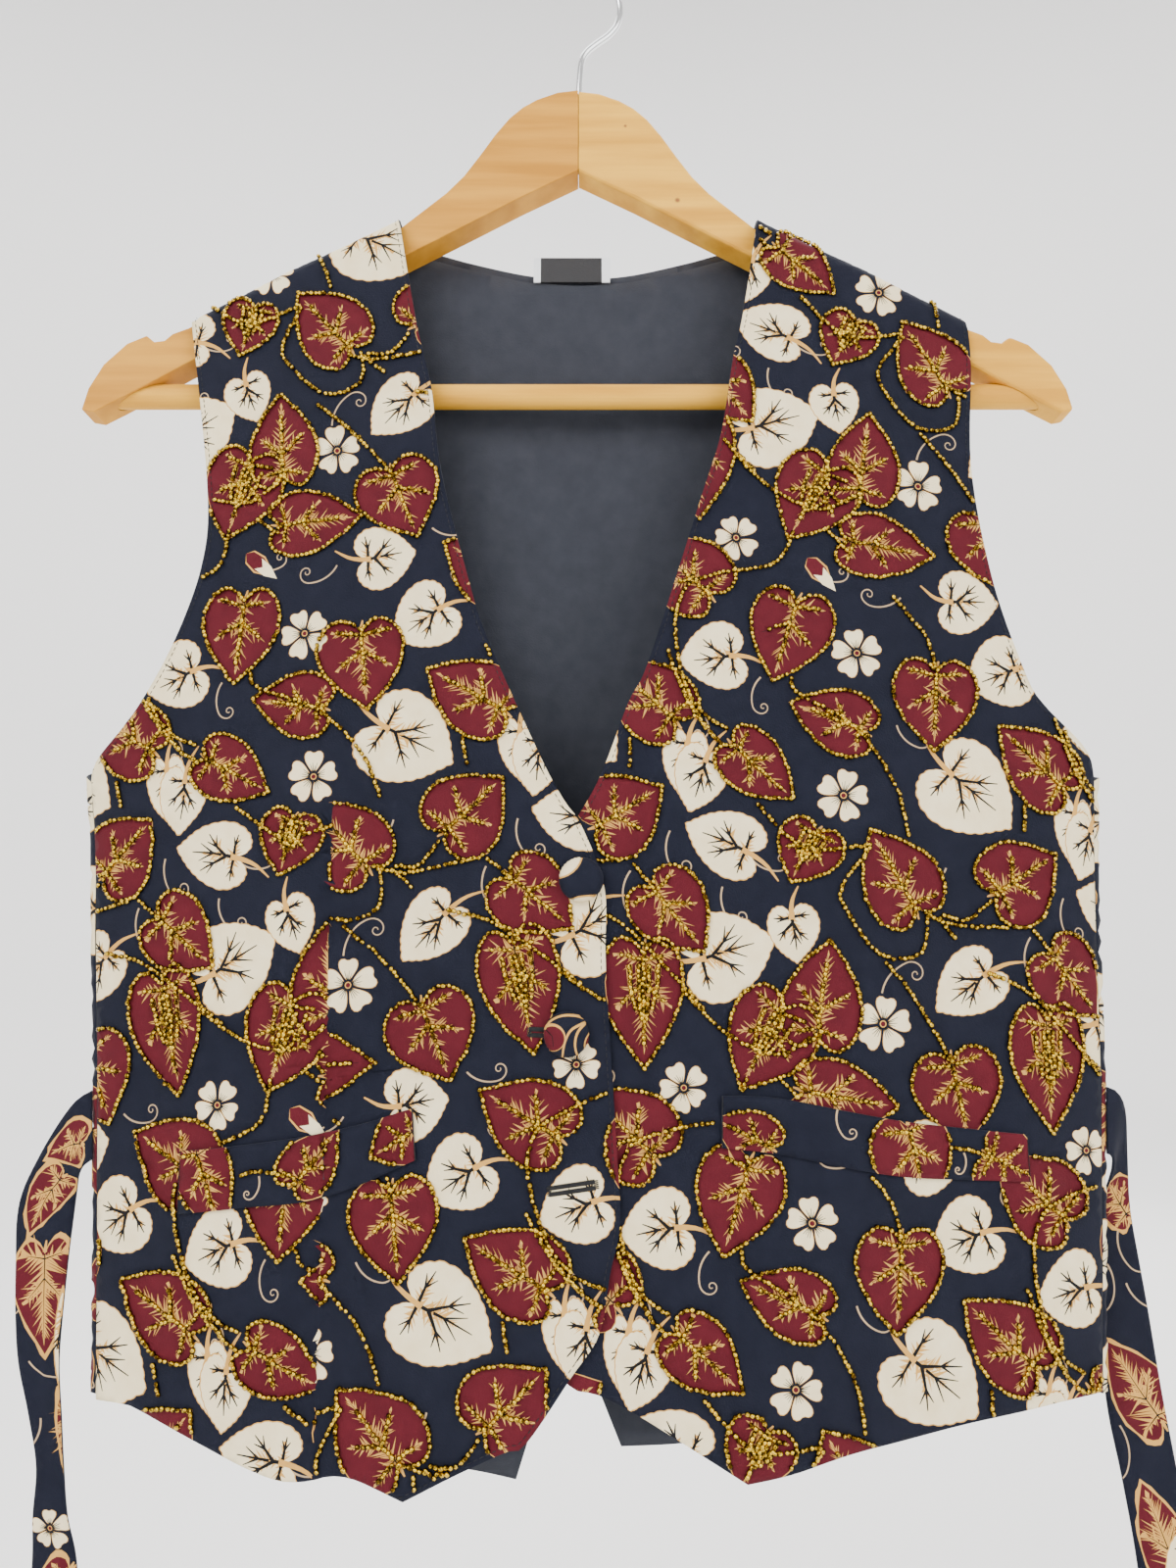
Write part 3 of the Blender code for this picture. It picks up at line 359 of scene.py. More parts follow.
def wrap_factor(x, z):
    """0 on the shoulder line, 1 once the cloth hangs straight below the hanger's top."""
    t = np.clip((lookup(SHOULDER, np.abs(x)) - z) / SHOULDER_WRAP, 0.0, 1.0)
    return np.sqrt(1 - (1 - t) ** 2)


def fold_height(folds, x, z):
    total = np.zeros_like(x)
    for fold in folds:
        if abs(fold.z_low - fold.z_top) >= abs(fold.x_low - fold.x_top):
            t = (z - fold.z_top) / (fold.z_low - fold.z_top)
            off = x - (fold.x_top + (fold.x_low - fold.x_top) * t)
        else:
            t = (x - fold.x_top) / (fold.x_low - fold.x_top)
            off = z - (fold.z_top + (fold.z_low - fold.z_top) * t)
        ends = smooth_step((t + 0.12) / 0.3) * smooth_step((1.12 - t) / 0.3)
        drawn = CREASE_GAIN if abs(fold.height) <= CREASE_MOST else 1.0
        total += fold.height * drawn * ends * np.exp(-(off / fold.half) ** 2)
    return total


def front_depth(x, z, folds):
    """y of the middle of a front's wall."""
    left, right = section_value("left", z), section_value("right", z)
    u = np.minimum(1.0, np.abs((x - (left + right) / 2) / ((right - left) / 2)))
    reach = section_value("front", z) * np.sqrt(1 - u * u)
    return -(reach + fold_height(folds, x, z) * smooth_step((1 - u) / 0.16)) * wrap_factor(x, z)


def right_point(x, z):
    raised = OVERLAP_RAISE * smooth_step((x + 52) / 30) * smooth_step((-330 - z) / 60)
    y = front_depth(x, z, FOLDS_RIGHT + CREASES_RIGHT) - raised - GAP / 2
    return np.stack([x, y, z], axis=-1)


def left_point(x, z):
    y = front_depth(x, z, FOLDS_LEFT + CREASES_LEFT) - GAP / 2
    return np.stack([x, y, z], axis=-1)


# The back's plan is measured round its section: past this angle it turns round the side fold
TURN_ANGLE = math.radians(80)
TURN_RATE = 22.0       # millimetres of cloth to a radian there


def back_point(a, z):
    left, right = section_value("left", z), section_value("right", z)
    half, centre = (right - left) / 2, (left + right) / 2
    off = a - centre
    knee = half * math.sin(TURN_ANGLE)
    beyond = np.maximum(0.0, np.abs(off) - knee) / TURN_RATE
    angle = np.where(np.abs(off) <= knee, np.arcsin(np.clip(np.abs(off) / half, 0, 1)),
                     TURN_ANGLE + beyond)
    x = centre + np.sign(off) * half * np.sin(angle)
    reach = np.cos(angle)
    waves = fold_height(FOLDS_BACK + CREASES_BACK, x, z) * smooth_step(reach / 0.5)
    behind = section_value("back", z) * reach + waves
    before = section_value("front", z) * reach
    y = np.where(reach >= 0, behind, before) * wrap_factor(x, z) + GAP / 2
    return np.stack([x, y, z], axis=-1)


def skin(point, outward, lift):
    """Turns plan points into points on a cloth's face, moved out along its normal."""
    def place(plan):
        a, b = plan[:, 0], plan[:, 1]
        step = 0.4
        along = point(a + step, b) - point(a - step, b)
        up = point(a, b + step) - point(a, b - step)
        normal = np.cross(along, up) * outward
        normal /= np.linalg.norm(normal, axis=1)[:, None]
        return point(a, b) + normal * lift, normal
    return place


def resample(points, spacing):
    """Catmull-Rom curve through the points, read at even steps of about the spacing."""
    pts = np.array(points, float)
    ends = np.vstack([pts[:1], pts, pts[-1:]])
    t = np.arange(CURVE_STEPS)[:, None] / CURVE_STEPS
    fine = []
    for p, q, r, s in zip(ends, ends[1:], ends[2:], ends[3:]):
        fine.append(0.5 * (2 * q + (r - p) * t + (2 * p - 5 * q + 4 * r - s) * t ** 2
                           + (3 * q - p - 3 * r + s) * t ** 3))
    fine = np.vstack(fine + [pts[-1:]])
    along = travelled(fine)
    count = max(1, round(along[-1] / spacing))
    at = np.linspace(0, along[-1], count + 1)
    return np.stack([np.interp(at, along, fine[:, k]) for k in range(fine.shape[1])], axis=1)


def side_seam(side, hem_z):
    name = "right" if side > 0 else "left"
    return [(float(section_value(name, z)) - side * (SEAM_INSET + GAP / 2), z)
            for z in SEAM_HEIGHTS + [hem_z]]


def front_outline(side, neck, armhole, hem, hem_z):
    """Closed plan outline of a front, from the neck point down and round."""
    seam = side_seam(side, hem_z)
    shoulder = [(side * x, z) for x, z in SHOULDER if x >= abs(neck[0][0])]
    return join_runs([
        resample(neck, OUTLINE_STEP), resample(hem + seam[-1:], OUTLINE_STEP),
        resample(seam, 5)[::-1], resample(armhole + seam[:1], OUTLINE_STEP)[::-1],
        resample(shoulder, OUTLINE_STEP)[::-1]])


def join_runs(runs):
    points = []
    for run in runs:
        for p in run:
            if not points or math.dist(points[-1], p) > 0.05:
                points.append((float(p[0]), float(p[1])))
    if math.dist(points[0], points[-1]) < 0.05:
        points.pop()
    return points


def back_edge(side):
    """Armhole, underarm and side seam of the back, in its plan."""
    rows = []
    for z in BACK_HEIGHTS:
        left, right = float(section_value("left", z)), float(section_value("right", z))
        half, centre = (right - left) / 2, (left + right) / 2
        knee = half * math.sin(TURN_ANGLE)
        seam_angle = math.pi - math.asin(1 - (SEAM_INSET - GAP) / half)
        seam = knee + (seam_angle - TURN_ANGLE) * TURN_RATE
        hole = float(lookup(BACK_ARMHOLE, max(z, UNDERARM_TOP))) - side * centre
        t = min(1.0, max(0.0, (UNDERARM_TOP - z) / UNDERARM_DROP))
        rows.append((centre + side * (hole + (seam - hole) * (1 - math.sqrt(1 - t * t))), z))
    return rows


def back_outline():
    top = [(x, z) for x, z in SHOULDER if x >= 80.5]
    neck = [(-x, z) for x, z in reversed(BACK_NECK)] + BACK_NECK[1:]
    left, right = back_edge(-1), back_edge(1)
    hem = [left[-1]] + [p for p in BACK_HEM if left[-1][0] + 6 < p[0] < right[-1][0] - 6] + [right[-1]]
    over = [resample(run, OUTLINE_STEP)
            for run in ([(-x, z) for x, z in reversed(top)], neck, top, right)]
    under = [run[::-1] for run in hem_runs(hem)[::-1]]
    return join_runs([*over, *under, resample(left, OUTLINE_STEP)[::-1]])[::-1]


def hem_runs(hem):
    """The back's hem as curves that meet at its corners."""
    at = [p[0] for p in hem]
    cuts = [0, *[at.index(corner) for corner in HEM_CORNERS], len(hem) - 1]
    return [resample(hem[a:b + 1], 5) for a, b in zip(cuts, cuts[1:])]


# Shapes of the print, each a closed outline with its ink

def in_frame(row):
    """Map from shares along and across to the plan, from a row's base to its tip, and that length."""
    base = np.array([row.base_x, row.base_z], float)
    along = np.array([row.tip_x, row.tip_z], float) - base
    length = np.linalg.norm(along)
    across = left_of(along) / length

    def put(points, half):
        pts = np.array(points, float)
        return base + pts[:, :1] * along + pts[:, 1:] * across * half
    return put, length


def grown(line, swell):
    """An outline in shares, swelled from the middle of its leaf."""
    return LEAF_MIDDLE + (line - LEAF_MIDDLE) * swell


def heart_line(half_line, scallops, rng):
    """Whole outline of a leaf in shares, its edge scalloped if asked."""
    half = resample(half_line, 0.17)
    skew = rng.uniform(0.9, 1.0), rng.uniform(0.92, 1.04)
    line = np.vstack([half * [1, skew[0]], (half * [1, -skew[1]])[::-1][1:-1]])
    if scallops:
        fine = resample(np.vstack([line, line[:1]]), 0.065)[:-1]
        swell = 1 + 0.03 * np.abs(np.sin(np.arange(len(fine)) * math.pi / 3)) - 0.015
        line = grown(fine, swell[:, None])
    return line


def flame(start, end, reach, spacing, rng):
    """Comb of pointed strokes along both sides of a vein, as one closed outline."""
    start, end = np.array(start, float), np.array(end, float)
    length = np.linalg.norm(end - start)
    along = (end - start) / length
    across = left_of(along)
    count = max(5, int(length / spacing))
    sides = []
    for side in (1, -1):
        line = []
        for k in range(count):
            t = (k + rng.uniform(0.0, 0.6)) / count
            foot = start + along * length * t
            swell = math.sin(math.pi * min(1.0, 0.3 + 0.7 * t)) ** 0.6
            out = max(0.6, reach * swell * rng.choice([0.35, 0.6, 0.9, 1.25]) * rng.uniform(0.8, 1.15))
            lean = math.radians(56 - 30 * t + rng.uniform(-9, 9))
            line.append(foot + across * side * 0.3)
            line.append(foot + (along * math.cos(lean) + across * side * math.sin(lean)) * out)
        sides.append(line)
    point = end + along * reach * 0.3
    return [start, *sides[0], point, *reversed(sides[1])]


def ribbon(points, start_width, end_width):
    """Outline of a stroke that tapers along a line."""
    pts = np.array(points, float)
    ahead = np.gradient(pts, axis=0)
    across = left_of(ahead)
    across /= np.maximum(1e-9, np.linalg.norm(across, axis=1))[:, None]
    widths = np.linspace(start_width, end_width, len(pts))[:, None] / 2
    return np.vstack([pts + across * widths, (pts - across * widths)[::-1]])


def red_leaf(leaf, rng, rim=0.4, bold=1.0):
    put, length = in_frame(leaf)
    half = leaf.width / 2
    line = heart_line(HEART, False, rng)
    swell = 1 + rim / half * rng.uniform(0.4, 1.3, len(line))[:, None]
    shapes = [("tan", put(grown(line, swell), half)), ("red", put(line, half))]
    beads = [put(grown(np.vstack([line, line[:1]]), 1 + 0.1 / half), half)]
    lines = []
    for vein in VEINS:
        ends = put([(vein.start_along, vein.start_across), (vein.end_along, vein.end_across)], half)
        lines.append(ends)
        shapes.append(("tan", flame(*ends, vein.reach * length * bold, 1.3, rng)))
    for ends in lines:
        shapes.append(("ink", ribbon([ends[0], (ends[0] + ends[1]) / 2, ends[1]], 0.55, 0.15)))
        start = ends[0] + (ends[1] - ends[0]) * rng.uniform(0.02, 0.12)
        stop = ends[0] + (ends[1] - ends[0]) * rng.uniform(0.86, 1.0)
        beads.append(np.array([start, stop]))
    stem = put([(-0.02, 0.0), (-0.14, 0.05)], half)
    shapes.append(("tan", ribbon([stem[0], stem[1]], 1.8, 0.6)))
    return shapes, beads


def bold_leaf(leaf, rng):
    """Red leaf of the unbeaded cloth: a broad rim and long strokes."""
    return red_leaf(leaf, rng, 1.3, 1.6)


def cluster_leaf(leaf, rng):
    """Leaf whose middle is striped and thick with beads."""
    put, _ = in_frame(leaf)
    half = leaf.width / 2
    shapes, beads = red_leaf(leaf, rng)
    for across in (-0.34, -0.12, 0.12, 0.34):
        top, low = (0.10, across), (0.62 - abs(across) * 0.3, across * 0.5)
        stripe = put([top, ((top[0] + low[0]) / 2, across * 0.9), low], half)
        shapes.append(("tan", ribbon(stripe, 2.6, 0.8)))
        shapes.append(("ink", ribbon(stripe + [0.9, 0.0], 0.4, 0.2)))
        beads.append(stripe)
    return shapes, beads


def cream_leaf(leaf, rng):
    put, length = in_frame(leaf)
    half = leaf.width / 2
    line = heart_line(CREAM_HEART, True, rng)
    shapes = [("tan", put(grown(line, 1 + 0.45 / half), half)), ("cream", put(line, half))]
    for along, across, reach in CREAM_VEINS:
        start = (0.05, 0.0) if along < 0.3 or across == 0.04 else (0.18, 0.01)
        ends = put([start, (along, across)], half)
        partly = ends[0] + (ends[1] - ends[0]) * 0.7
        shapes.append(("tan", flame(ends[0], partly, reach * length * 1.5, 1.4, rng)))
        bend = (ends[0] + ends[1]) / 2 + rng.uniform(-0.6, 0.6, 2)
        shapes.append(("ink", ribbon([ends[0], bend, ends[1]], 1.5, 0.4)))
        for turn in (-0.55, 0.5):
            ahead = ends[1] - bend
            twig = ahead * math.cos(turn) + left_of(ahead) * math.sin(turn)
            shapes.append(("ink", ribbon([bend, bend + twig * 0.75], 0.95, 0.3)))
    stem = put(resample([(0.10, 0.0), (-0.12, 0.03), (-0.34, 0.14), (-0.58, 0.42)], 0.12), half)
    shapes.append(("tan", ribbon(stem, 2.4, 0.6)))
    return shapes, []


def flower_shapes(flower, rng):
    centre = np.array([flower.x, flower.z], float)
    petal = [(0.16, 0.0), (0.34, 0.17), (0.62, 0.34), (0.86, 0.36), (0.98, 0.22), (0.93, 0.07),
             (0.88, 0.0)]
    whole = petal + [(u, -v) for u, v in reversed(petal[1:-1])]
    outline = resample(whole + whole[:1], 0.12)[:-1]
    shapes, marks = [], []
    for k in range(5):
        angle = math.radians(flower.turn + 72 * k + rng.uniform(-5, 5))
        size = flower.radius * rng.uniform(0.92, 1.05)
        along = np.array([math.cos(angle), math.sin(angle)]) * size
        across = left_of(along)
        place = centre + outline[:, :1] * along + outline[:, 1:] * across
        heart = centre + along * 0.6
        shapes.append(("tan", heart + (place - heart) * 1.07))
        shapes.append(("cream", place))
        for spread in (-0.3, -0.1, 0.1, 0.3):
            tip = centre + along * rng.uniform(0.42, 0.56) + across * spread * 0.5
            root = centre + along * 0.14 + across * spread * 0.1
            marks.append(("ink", ribbon([root, tip], 0.45, 0.15)))
    shapes += marks
    for ink, share in (("ink", 0.16), ("tan", 0.13), ("red", 0.09)):
        shapes.append((ink, centre + np.array(circle(flower.radius * share, 10))))
    return shapes, []


def bud_shapes(bud, rng):
    put, _ = in_frame(bud)
    body = [(0, 0), (0.15, 0.8), (0.5, 1.0), (0.8, 0.5), (1.0, 0.0), (0.8, -0.5), (0.5, -1), (0.15, -0.8)]
    tip = [(0.45, 0.75), (0.8, 0.7), (1.15, 0.0), (0.8, -0.7), (0.45, -0.75), (0.62, 0.0)]
    return [("tan", put(body, 4.2)), ("red", put(body, 3.4)), ("cream", put(tip, 3.6))], []


def tendril_shapes(tendril, rng):
    """Thin stem that ends in a curl."""
    heading = math.radians(tendril.heading)
    at = np.array([tendril.x, tendril.z], float)
    line = [at]
    for k in range(31):
        turn = 0.09 if k < 12 else 0.24 + (k - 12) * 0.022
        step = tendril.size * (0.105 if k < 14 else 0.105 * (1 - (k - 14) / 24))
        heading += tendril.hand * turn
        at = at + step * np.array([math.cos(heading), math.sin(heading)])
        line.append(at)
    return [("tendril", ribbon(line, 0.75, 0.4))], []


def laid(points, laying, shift):
    """Chart points, moved by whole repeats and then laid on a panel."""
    across, up = math.radians(laying.turn_across), math.radians(laying.turn_up)
    matrix = np.array([
        [laying.stretch_across * math.cos(across), -laying.stretch_up * math.sin(up)],
        [laying.stretch_across * math.sin(across), laying.stretch_up * math.cos(up)]])
    moved = np.array(points, float) + shift
    return moved @ matrix.T + [laying.move_x, laying.move_z]


def motif(row, rng):
    """Shapes and bead lines of one row of a chart."""
    makers = {"red": red_leaf, "cream": cream_leaf, "cluster": cluster_leaf, "bold": bold_leaf}
    if isinstance(row, Leaf):
        return makers[row.kind](row, rng)
    if isinstance(row, Flower):
        return flower_shapes(row, rng)
    if isinstance(row, Bud):
        return bud_shapes(row, rng)
    return tendril_shapes(row, rng)


def middle_of(row):
    if isinstance(row, (Leaf, Bud)):
        return (row.base_x + row.tip_x) / 2, (row.base_z + row.tip_z) / 2
    return row.x, row.z


def placed(rows):
    """Shapes and bead lines of a chart that is used where it stands."""
    shapes, beads = [], []
    for number, row in enumerate(rows):
        made, lines = motif(row, np.random.default_rng(number + 50))
        shapes += made
        beads += lines
    return shapes, beads


def charted(laying, box, keep):
    """Shapes and bead lines of the print that fall in a panel's box (low x, low z, high x, high z)."""
    shapes, beads = [], []
    reach = 18

    def wanted(at):
        fits = box[0] - reach < at[0] < box[2] + reach and box[1] - reach < at[1] < box[3] + reach
        return fits and keep(at)

    steps = [(i, j) for i in range(-4, 5) for j in range(-4, 5)]
    creams = [leaf for leaf in LEAVES if leaf.kind == "cream"]
    others = [leaf for leaf in LEAVES if leaf.kind != "cream"]
    for number, row in enumerate([*TENDRILS, *creams, *FLOWERS, *others, *BUDS]):
        for i, j in steps:
            shift = np.array(REPEAT_ACROSS) * i + np.array(REPEAT_UP) * j
            if wanted(laid([middle_of(row)], laying, shift)[0]):
                rng = np.random.default_rng(number * 100 + (i + 5) * 10 + j + 5)
                made, lines = motif(row, rng)
                shapes += [(ink, laid(outline, laying, shift)) for ink, outline in made]
                beads += [laid(line, laying, shift) for line in lines]
    for i, j in steps:
        shift = np.array(REPEAT_ACROSS) * i + np.array(REPEAT_UP) * j
        for vine in VINES:
            line = laid(resample(vine, 4), laying, shift)
            if wanted(line.mean(axis=0)):
                beads.append(line)
    return shapes, beads


def inside(outline, points):
    """Which points lie inside a closed outline."""
    pts = np.array(points, float)
    ring = np.array(outline, float)
    found = np.zeros(len(pts), bool)
    for p, q in zip(ring, np.roll(ring, -1, axis=0)):
        crosses = (p[1] > pts[:, 1]) != (q[1] > pts[:, 1])
        if crosses.any() and q[1] != p[1]:
            at = (q[0] - p[0]) * (pts[:, 1] - p[1]) / (q[1] - p[1]) + p[0]
            found ^= crosses & (pts[:, 0] < at)
    return found


def wound(shape):
    """The closed outline anticlockwise, starting at its lowest point."""
    pts = np.array(shape, float)
    after = np.roll(pts, -1, axis=0)
    if np.sum(pts[:, 0] * after[:, 1] - after[:, 0] * pts[:, 1]) < 0:
        pts = pts[::-1]
    return np.roll(pts, -int(np.argmin(pts[:, 1])), axis=0)


def inlaid_plan(outline, shapes, extra, spacing, region=None):
    """Triangles of a plan, each with the ink of the topmost shape that covers it."""
    ring = wound(outline)
    low, high = ring.min(axis=0), ring.max(axis=0)
    grid = [(x, z) for row, z in enumerate(np.arange(low[1], high[1], spacing * 0.87))
            for x in np.arange(low[0] + (row % 2) * spacing / 2, high[0], spacing)]
    free = np.array(grid + list(extra))
    free = free[inside(ring, free)]
    points = [Vector(p) for p in ring]
    polygons, owners_ink = [list(range(len(ring)))], [(INK["navy"], -1)]
    starts = np.cumsum([0] + [len(shape) for _, shape in shapes])
    within = inside(ring, np.vstack([shape for _, shape in shapes]))
    for number, (ink, shape) in enumerate(shapes):
        if within[starts[number]:starts[number + 1]].any():
            polygons.append(list(range(len(points), len(points) + len(shape))))
            points += [Vector(p) for p in wound(shape)]
            owners_ink.append((INK[ink], number))
    points += [Vector(p) for p in free]
    made = delaunay_2d_cdt(points, [], polygons, 0, 1e-5, True)
    verts = np.array([tuple(v) for v in made[0]])
    faces, inks = [], []
    for face, owners in zip(made[2], made[5]):
        if 0 not in owners:
            continue
        if region is not None:
            middle = verts[list(face)].mean(axis=0)
            owners = [k for k in owners if k == 0 or region(middle, owners_ink[k][1])]
        inks.append(owners_ink[max(owners)][0])
        faces.append(tuple(face))
    return verts, faces, inks


def rim_of(faces):
    """Vertices round the edge of a sheet of triangles, in order."""
    edges = {(a, b) for face in faces for a, b in zip(face, face[1:] + face[:1])}
    after = {a: b for a, b in edges if (b, a) not in edges}
    loop = [min(after)]
    while after[loop[-1]] != loop[0]:
        loop.append(after[loop[-1]])
    return loop


def backed(plan, spacing, inner_ink):
    """Adds a plain inner side and a rim: plan points, which side each is on, faces and inks."""
    verts, faces, inks = plan
    used = sorted({v for face in faces for v in face})
    renumber = {v: k for k, v in enumerate(used)}
    faces = [tuple(renumber[v] for v in face) for face in faces]
    verts = verts[used]
    loop = rim_of(faces)
    edge = verts[loop]
    low, high = edge.min(axis=0), edge.max(axis=0)
    free = np.array([(x, z) for z in np.arange(low[1], high[1], spacing)
                     for x in np.arange(low[0], high[0], spacing)])
    free = free[inside(edge, free)] if len(free) else free
    made = delaunay_2d_cdt([Vector(p) for p in [*edge, *free]], [], [list(range(len(edge)))], 0, 1e-5, True)
    inner = np.array([tuple(v) for v in made[0]])
    kept = [face for face, owners in zip(made[2], made[5]) if owners]
    first = len(verts)
    at_edge = {source: k for k, sources in enumerate(made[3]) for source in sources}
    inner_faces = [tuple(first + v for v in reversed(face)) for face in kept]
    rim = []
    for k in range(len(loop)):
        n = (k + 1) % len(loop)
        rim.append((loop[n], loop[k], first + at_edge[k], first + at_edge[n]))
    all_faces = faces + inner_faces + rim
    all_inks = inks + [INK[inner_ink]] * (len(inner_faces) + len(rim))
    sides = np.array([0] * first + [1] * len(inner))
    return np.vstack([verts, inner]), sides, all_faces, all_inks


def add_object(name, data):
    made = bpy.data.objects.new(name, data)
    bpy.context.scene.collection.objects.link(made)
    return made


def add_piece(name, verts, faces, materials, inks=None, smooth=True):
    mesh = bpy.data.meshes.new(name)
    mesh.from_pydata([tuple(v) for v in np.array(verts) * MM], [], faces)
    for made in materials:
        mesh.materials.append(made)
    if inks is not None:
        mesh.polygons.foreach_set("material_index", np.array(inks, np.int32))
    if smooth:
        mesh.shade_smooth()
    piece = add_object(name, mesh)
    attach(piece, "root")
    return piece


def printed_cloth(name, plan, point, outward=1, lift=WALL / 2, shell=SHELL, inner_ink="lining"):
    """Closed shell of printed cloth with a dark inner side."""
    verts, sides, faces, inks = backed(plan, INNER_GRID, inner_ink)
    outer, _ = skin(point, outward, lift)(verts)
    inner, _ = skin(point, outward, lift - shell)(verts)
    spots = np.where(sides[:, None] == 0, outer, inner)
    if outward < 0:
        faces = [tuple(reversed(face)) for face in faces]
    return add_piece(name, spots, faces, [MATERIALS[ink] for ink in INKS], inks)


# Beads and stitches are rings of six points along an axis: how far along each is, and how wide
BEAD_RINGS = [(-0.5, 0.7), (0.0, 1.0), (0.5, 0.7)]
STITCH_RINGS = [(-0.5, 0.4), (-0.3, 1.0), (0.3, 1.0), (0.5, 0.4)]
RING_SIDES = 6
BEAD_SUNK = 0.7        # height of a bead's axis over the cloth, of its radius
STITCH_SUNK = 0.25     # height of a stitch's axis over the cloth, of its thickness
STITCH_INSET = 1.8     # from the edge of a neck or an armhole
WELT_PITCH = 1.8
BUTTONHOLE_PITCH = 0.42
BUTTONHOLE_HALF = 1.15
BAR_STEP = 0.7         # between the bars at a buttonhole's ends


def ringed(rings, length, radius):
    """Points and faces of one bead or stitch that lies along x."""
    points = [(along * length, out * y, out * z) for along, out in rings
              for y, z in circle(radius, RING_SIDES)]
    faces = []
    for ring in range(len(rings) - 1):
        for k in range(RING_SIDES):
            a, b = ring * RING_SIDES + k, ring * RING_SIDES + (k + 1) % RING_SIDES
            faces.append((a, b, b + RING_SIDES, a + RING_SIDES))
    faces.append(tuple(reversed(range(RING_SIDES))))
    faces.append(tuple(range((len(rings) - 1) * RING_SIDES, len(rings) * RING_SIDES)))
    return points, faces


def strewn(name, spots, ahead, place, step, model, height, material, spin=0.0, size=1.0):
    """Copies of one model that lie along plan directions on a cloth, turned by spin."""
    centres, normals = place(spots)
    fore, _ = place(spots + ahead * step)
    along = fore - centres
    along /= np.linalg.norm(along, axis=1)[:, None]
    side = np.cross(normals, along)
    side /= np.linalg.norm(side, axis=1)[:, None]
    up = np.cross(along, side)
    points, faces = model
    spin, size = np.full(len(spots), spin), np.full(len(spots), size)
    verts = np.empty((len(spots), len(points), 3))
    for k, (x, y, z) in enumerate(points):
        across = y * np.cos(spin) - z * np.sin(spin)
        rise = y * np.sin(spin) + z * np.cos(spin)
        offset = x * along + across[:, None] * side + rise[:, None] * up
        verts[:, k] = centres + offset * size[:, None] + normals * height
    copies = [tuple(v + n * len(points) for v in face) for n in range(len(spots)) for face in faces]
    return add_piece(name, verts.reshape(-1, 3), copies, [MATERIALS[material]])


def bead_spots(lines, allowed, rng):
    """Plan places and headings of beads: short couched groups along each line."""
    spots, ahead = [], []
    for line in lines:
        line = np.array(line, float)
        along = travelled(line)
        at = rng.uniform(0.2, 0.8)
        group = rng.integers(3, 7)
        while at < along[-1] - 0.3:
            here = read_at(at, along, line)
            there = read_at(min(at + 0.6, along[-1]), along, line)
            heading = there - here
            if np.linalg.norm(heading) > 0.05:
                heading = heading / np.linalg.norm(heading)
                side = left_of(heading)
                heading = heading + side * rng.normal(0, 0.16)
                spots.append(here + side * rng.normal(0, 0.16))
                ahead.append(heading)
            at += BEAD_PITCH * rng.uniform(0.94, 1.08)
            group -= 1
            if group <= 0:
                at += rng.uniform(0.25, 1.1)
                group = rng.integers(3, 8)
    spots, ahead = np.array(spots), np.array(ahead)
    keep = allowed(spots)
    return spots[keep], ahead[keep]


def bead_piece(name, spots, ahead, place):
    rng = np.random.default_rng(len(spots))
    spin = rng.uniform(0, 2 * math.pi, len(spots))
    size = rng.uniform(0.88, 1.1, len(spots))
    bead = ringed(BEAD_RINGS, BEAD_LENGTH, BEAD_RADIUS)
    strewn(name, spots, ahead, place, 0.5, bead, BEAD_RADIUS * BEAD_SUNK, "gold", spin, size)


def new_material(name, values=()):
    """A material with values set on its shader, its node tree and that shader."""
    made = bpy.data.materials.new(name)
    made.use_nodes = True
    shader = made.node_tree.nodes["Principled BSDF"]
    for key, value in dict(values).items():
        shader.inputs[key].default_value = value
    return made, made.node_tree, shader


def node(tree, kind, values=(), links=(), **settings):
    """A shader node with its settings, input values and linked inputs."""
    made = tree.nodes.new("ShaderNode" + kind)
    for key, value in settings.items():
        setattr(made, key, value)
    for key, value in dict(values).items():
        made.inputs[key].default_value = value
    for key, source in dict(links).items():
        tree.links.new(source, made.inputs[key])
    return made


def own_place(tree):
    return node(tree, "TexCoord").outputs["Object"]


def noise(tree, where, scale, detail):
    return node(tree, "TexNoise", {"Scale": scale, "Detail": detail}, {"Vector": where}).outputs["Fac"]


def spread(tree, value, low, high):
    """A value stretched so that low becomes 0 and high becomes 1."""
    return node(tree, "MapRange", {"From Min": low, "From Max": high}, {"Value": value}).outputs["Result"]


def mixed(tree, factor, first, second):
    return node(tree, "Mix", {"A": (*first, 1), "B": (*second, 1)}, {"Factor": factor},
                data_type="RGBA").outputs["Result"]


def finish(tree, shader, colour, height, strength, distance):
    """Links a material's colour, and a bump where it has one."""
    tree.links.new(colour, shader.inputs["Base Color"])
    if height is not None:
        bump = node(tree, "Bump", {"Strength": strength, "Distance": distance}, {"Height": height})
        tree.links.new(bump.outputs["Normal"], shader.inputs["Normal"])


def cloth(name, dark, light, sheen):
    """Printed cotton: a fine weave and slightly uneven dye."""
    made, tree, shader = new_material(name, {"Roughness": 0.78, "Sheen Weight": sheen,
                                             "Specular IOR Level": 0.12})
    where = own_place(tree)
    dye, weave = noise(tree, where, 130, 4), noise(tree, where, 1400, 2)
    finish(tree, shader, mixed(tree, dye, dark, light), weave, 0.35, 0.0004)
    return made


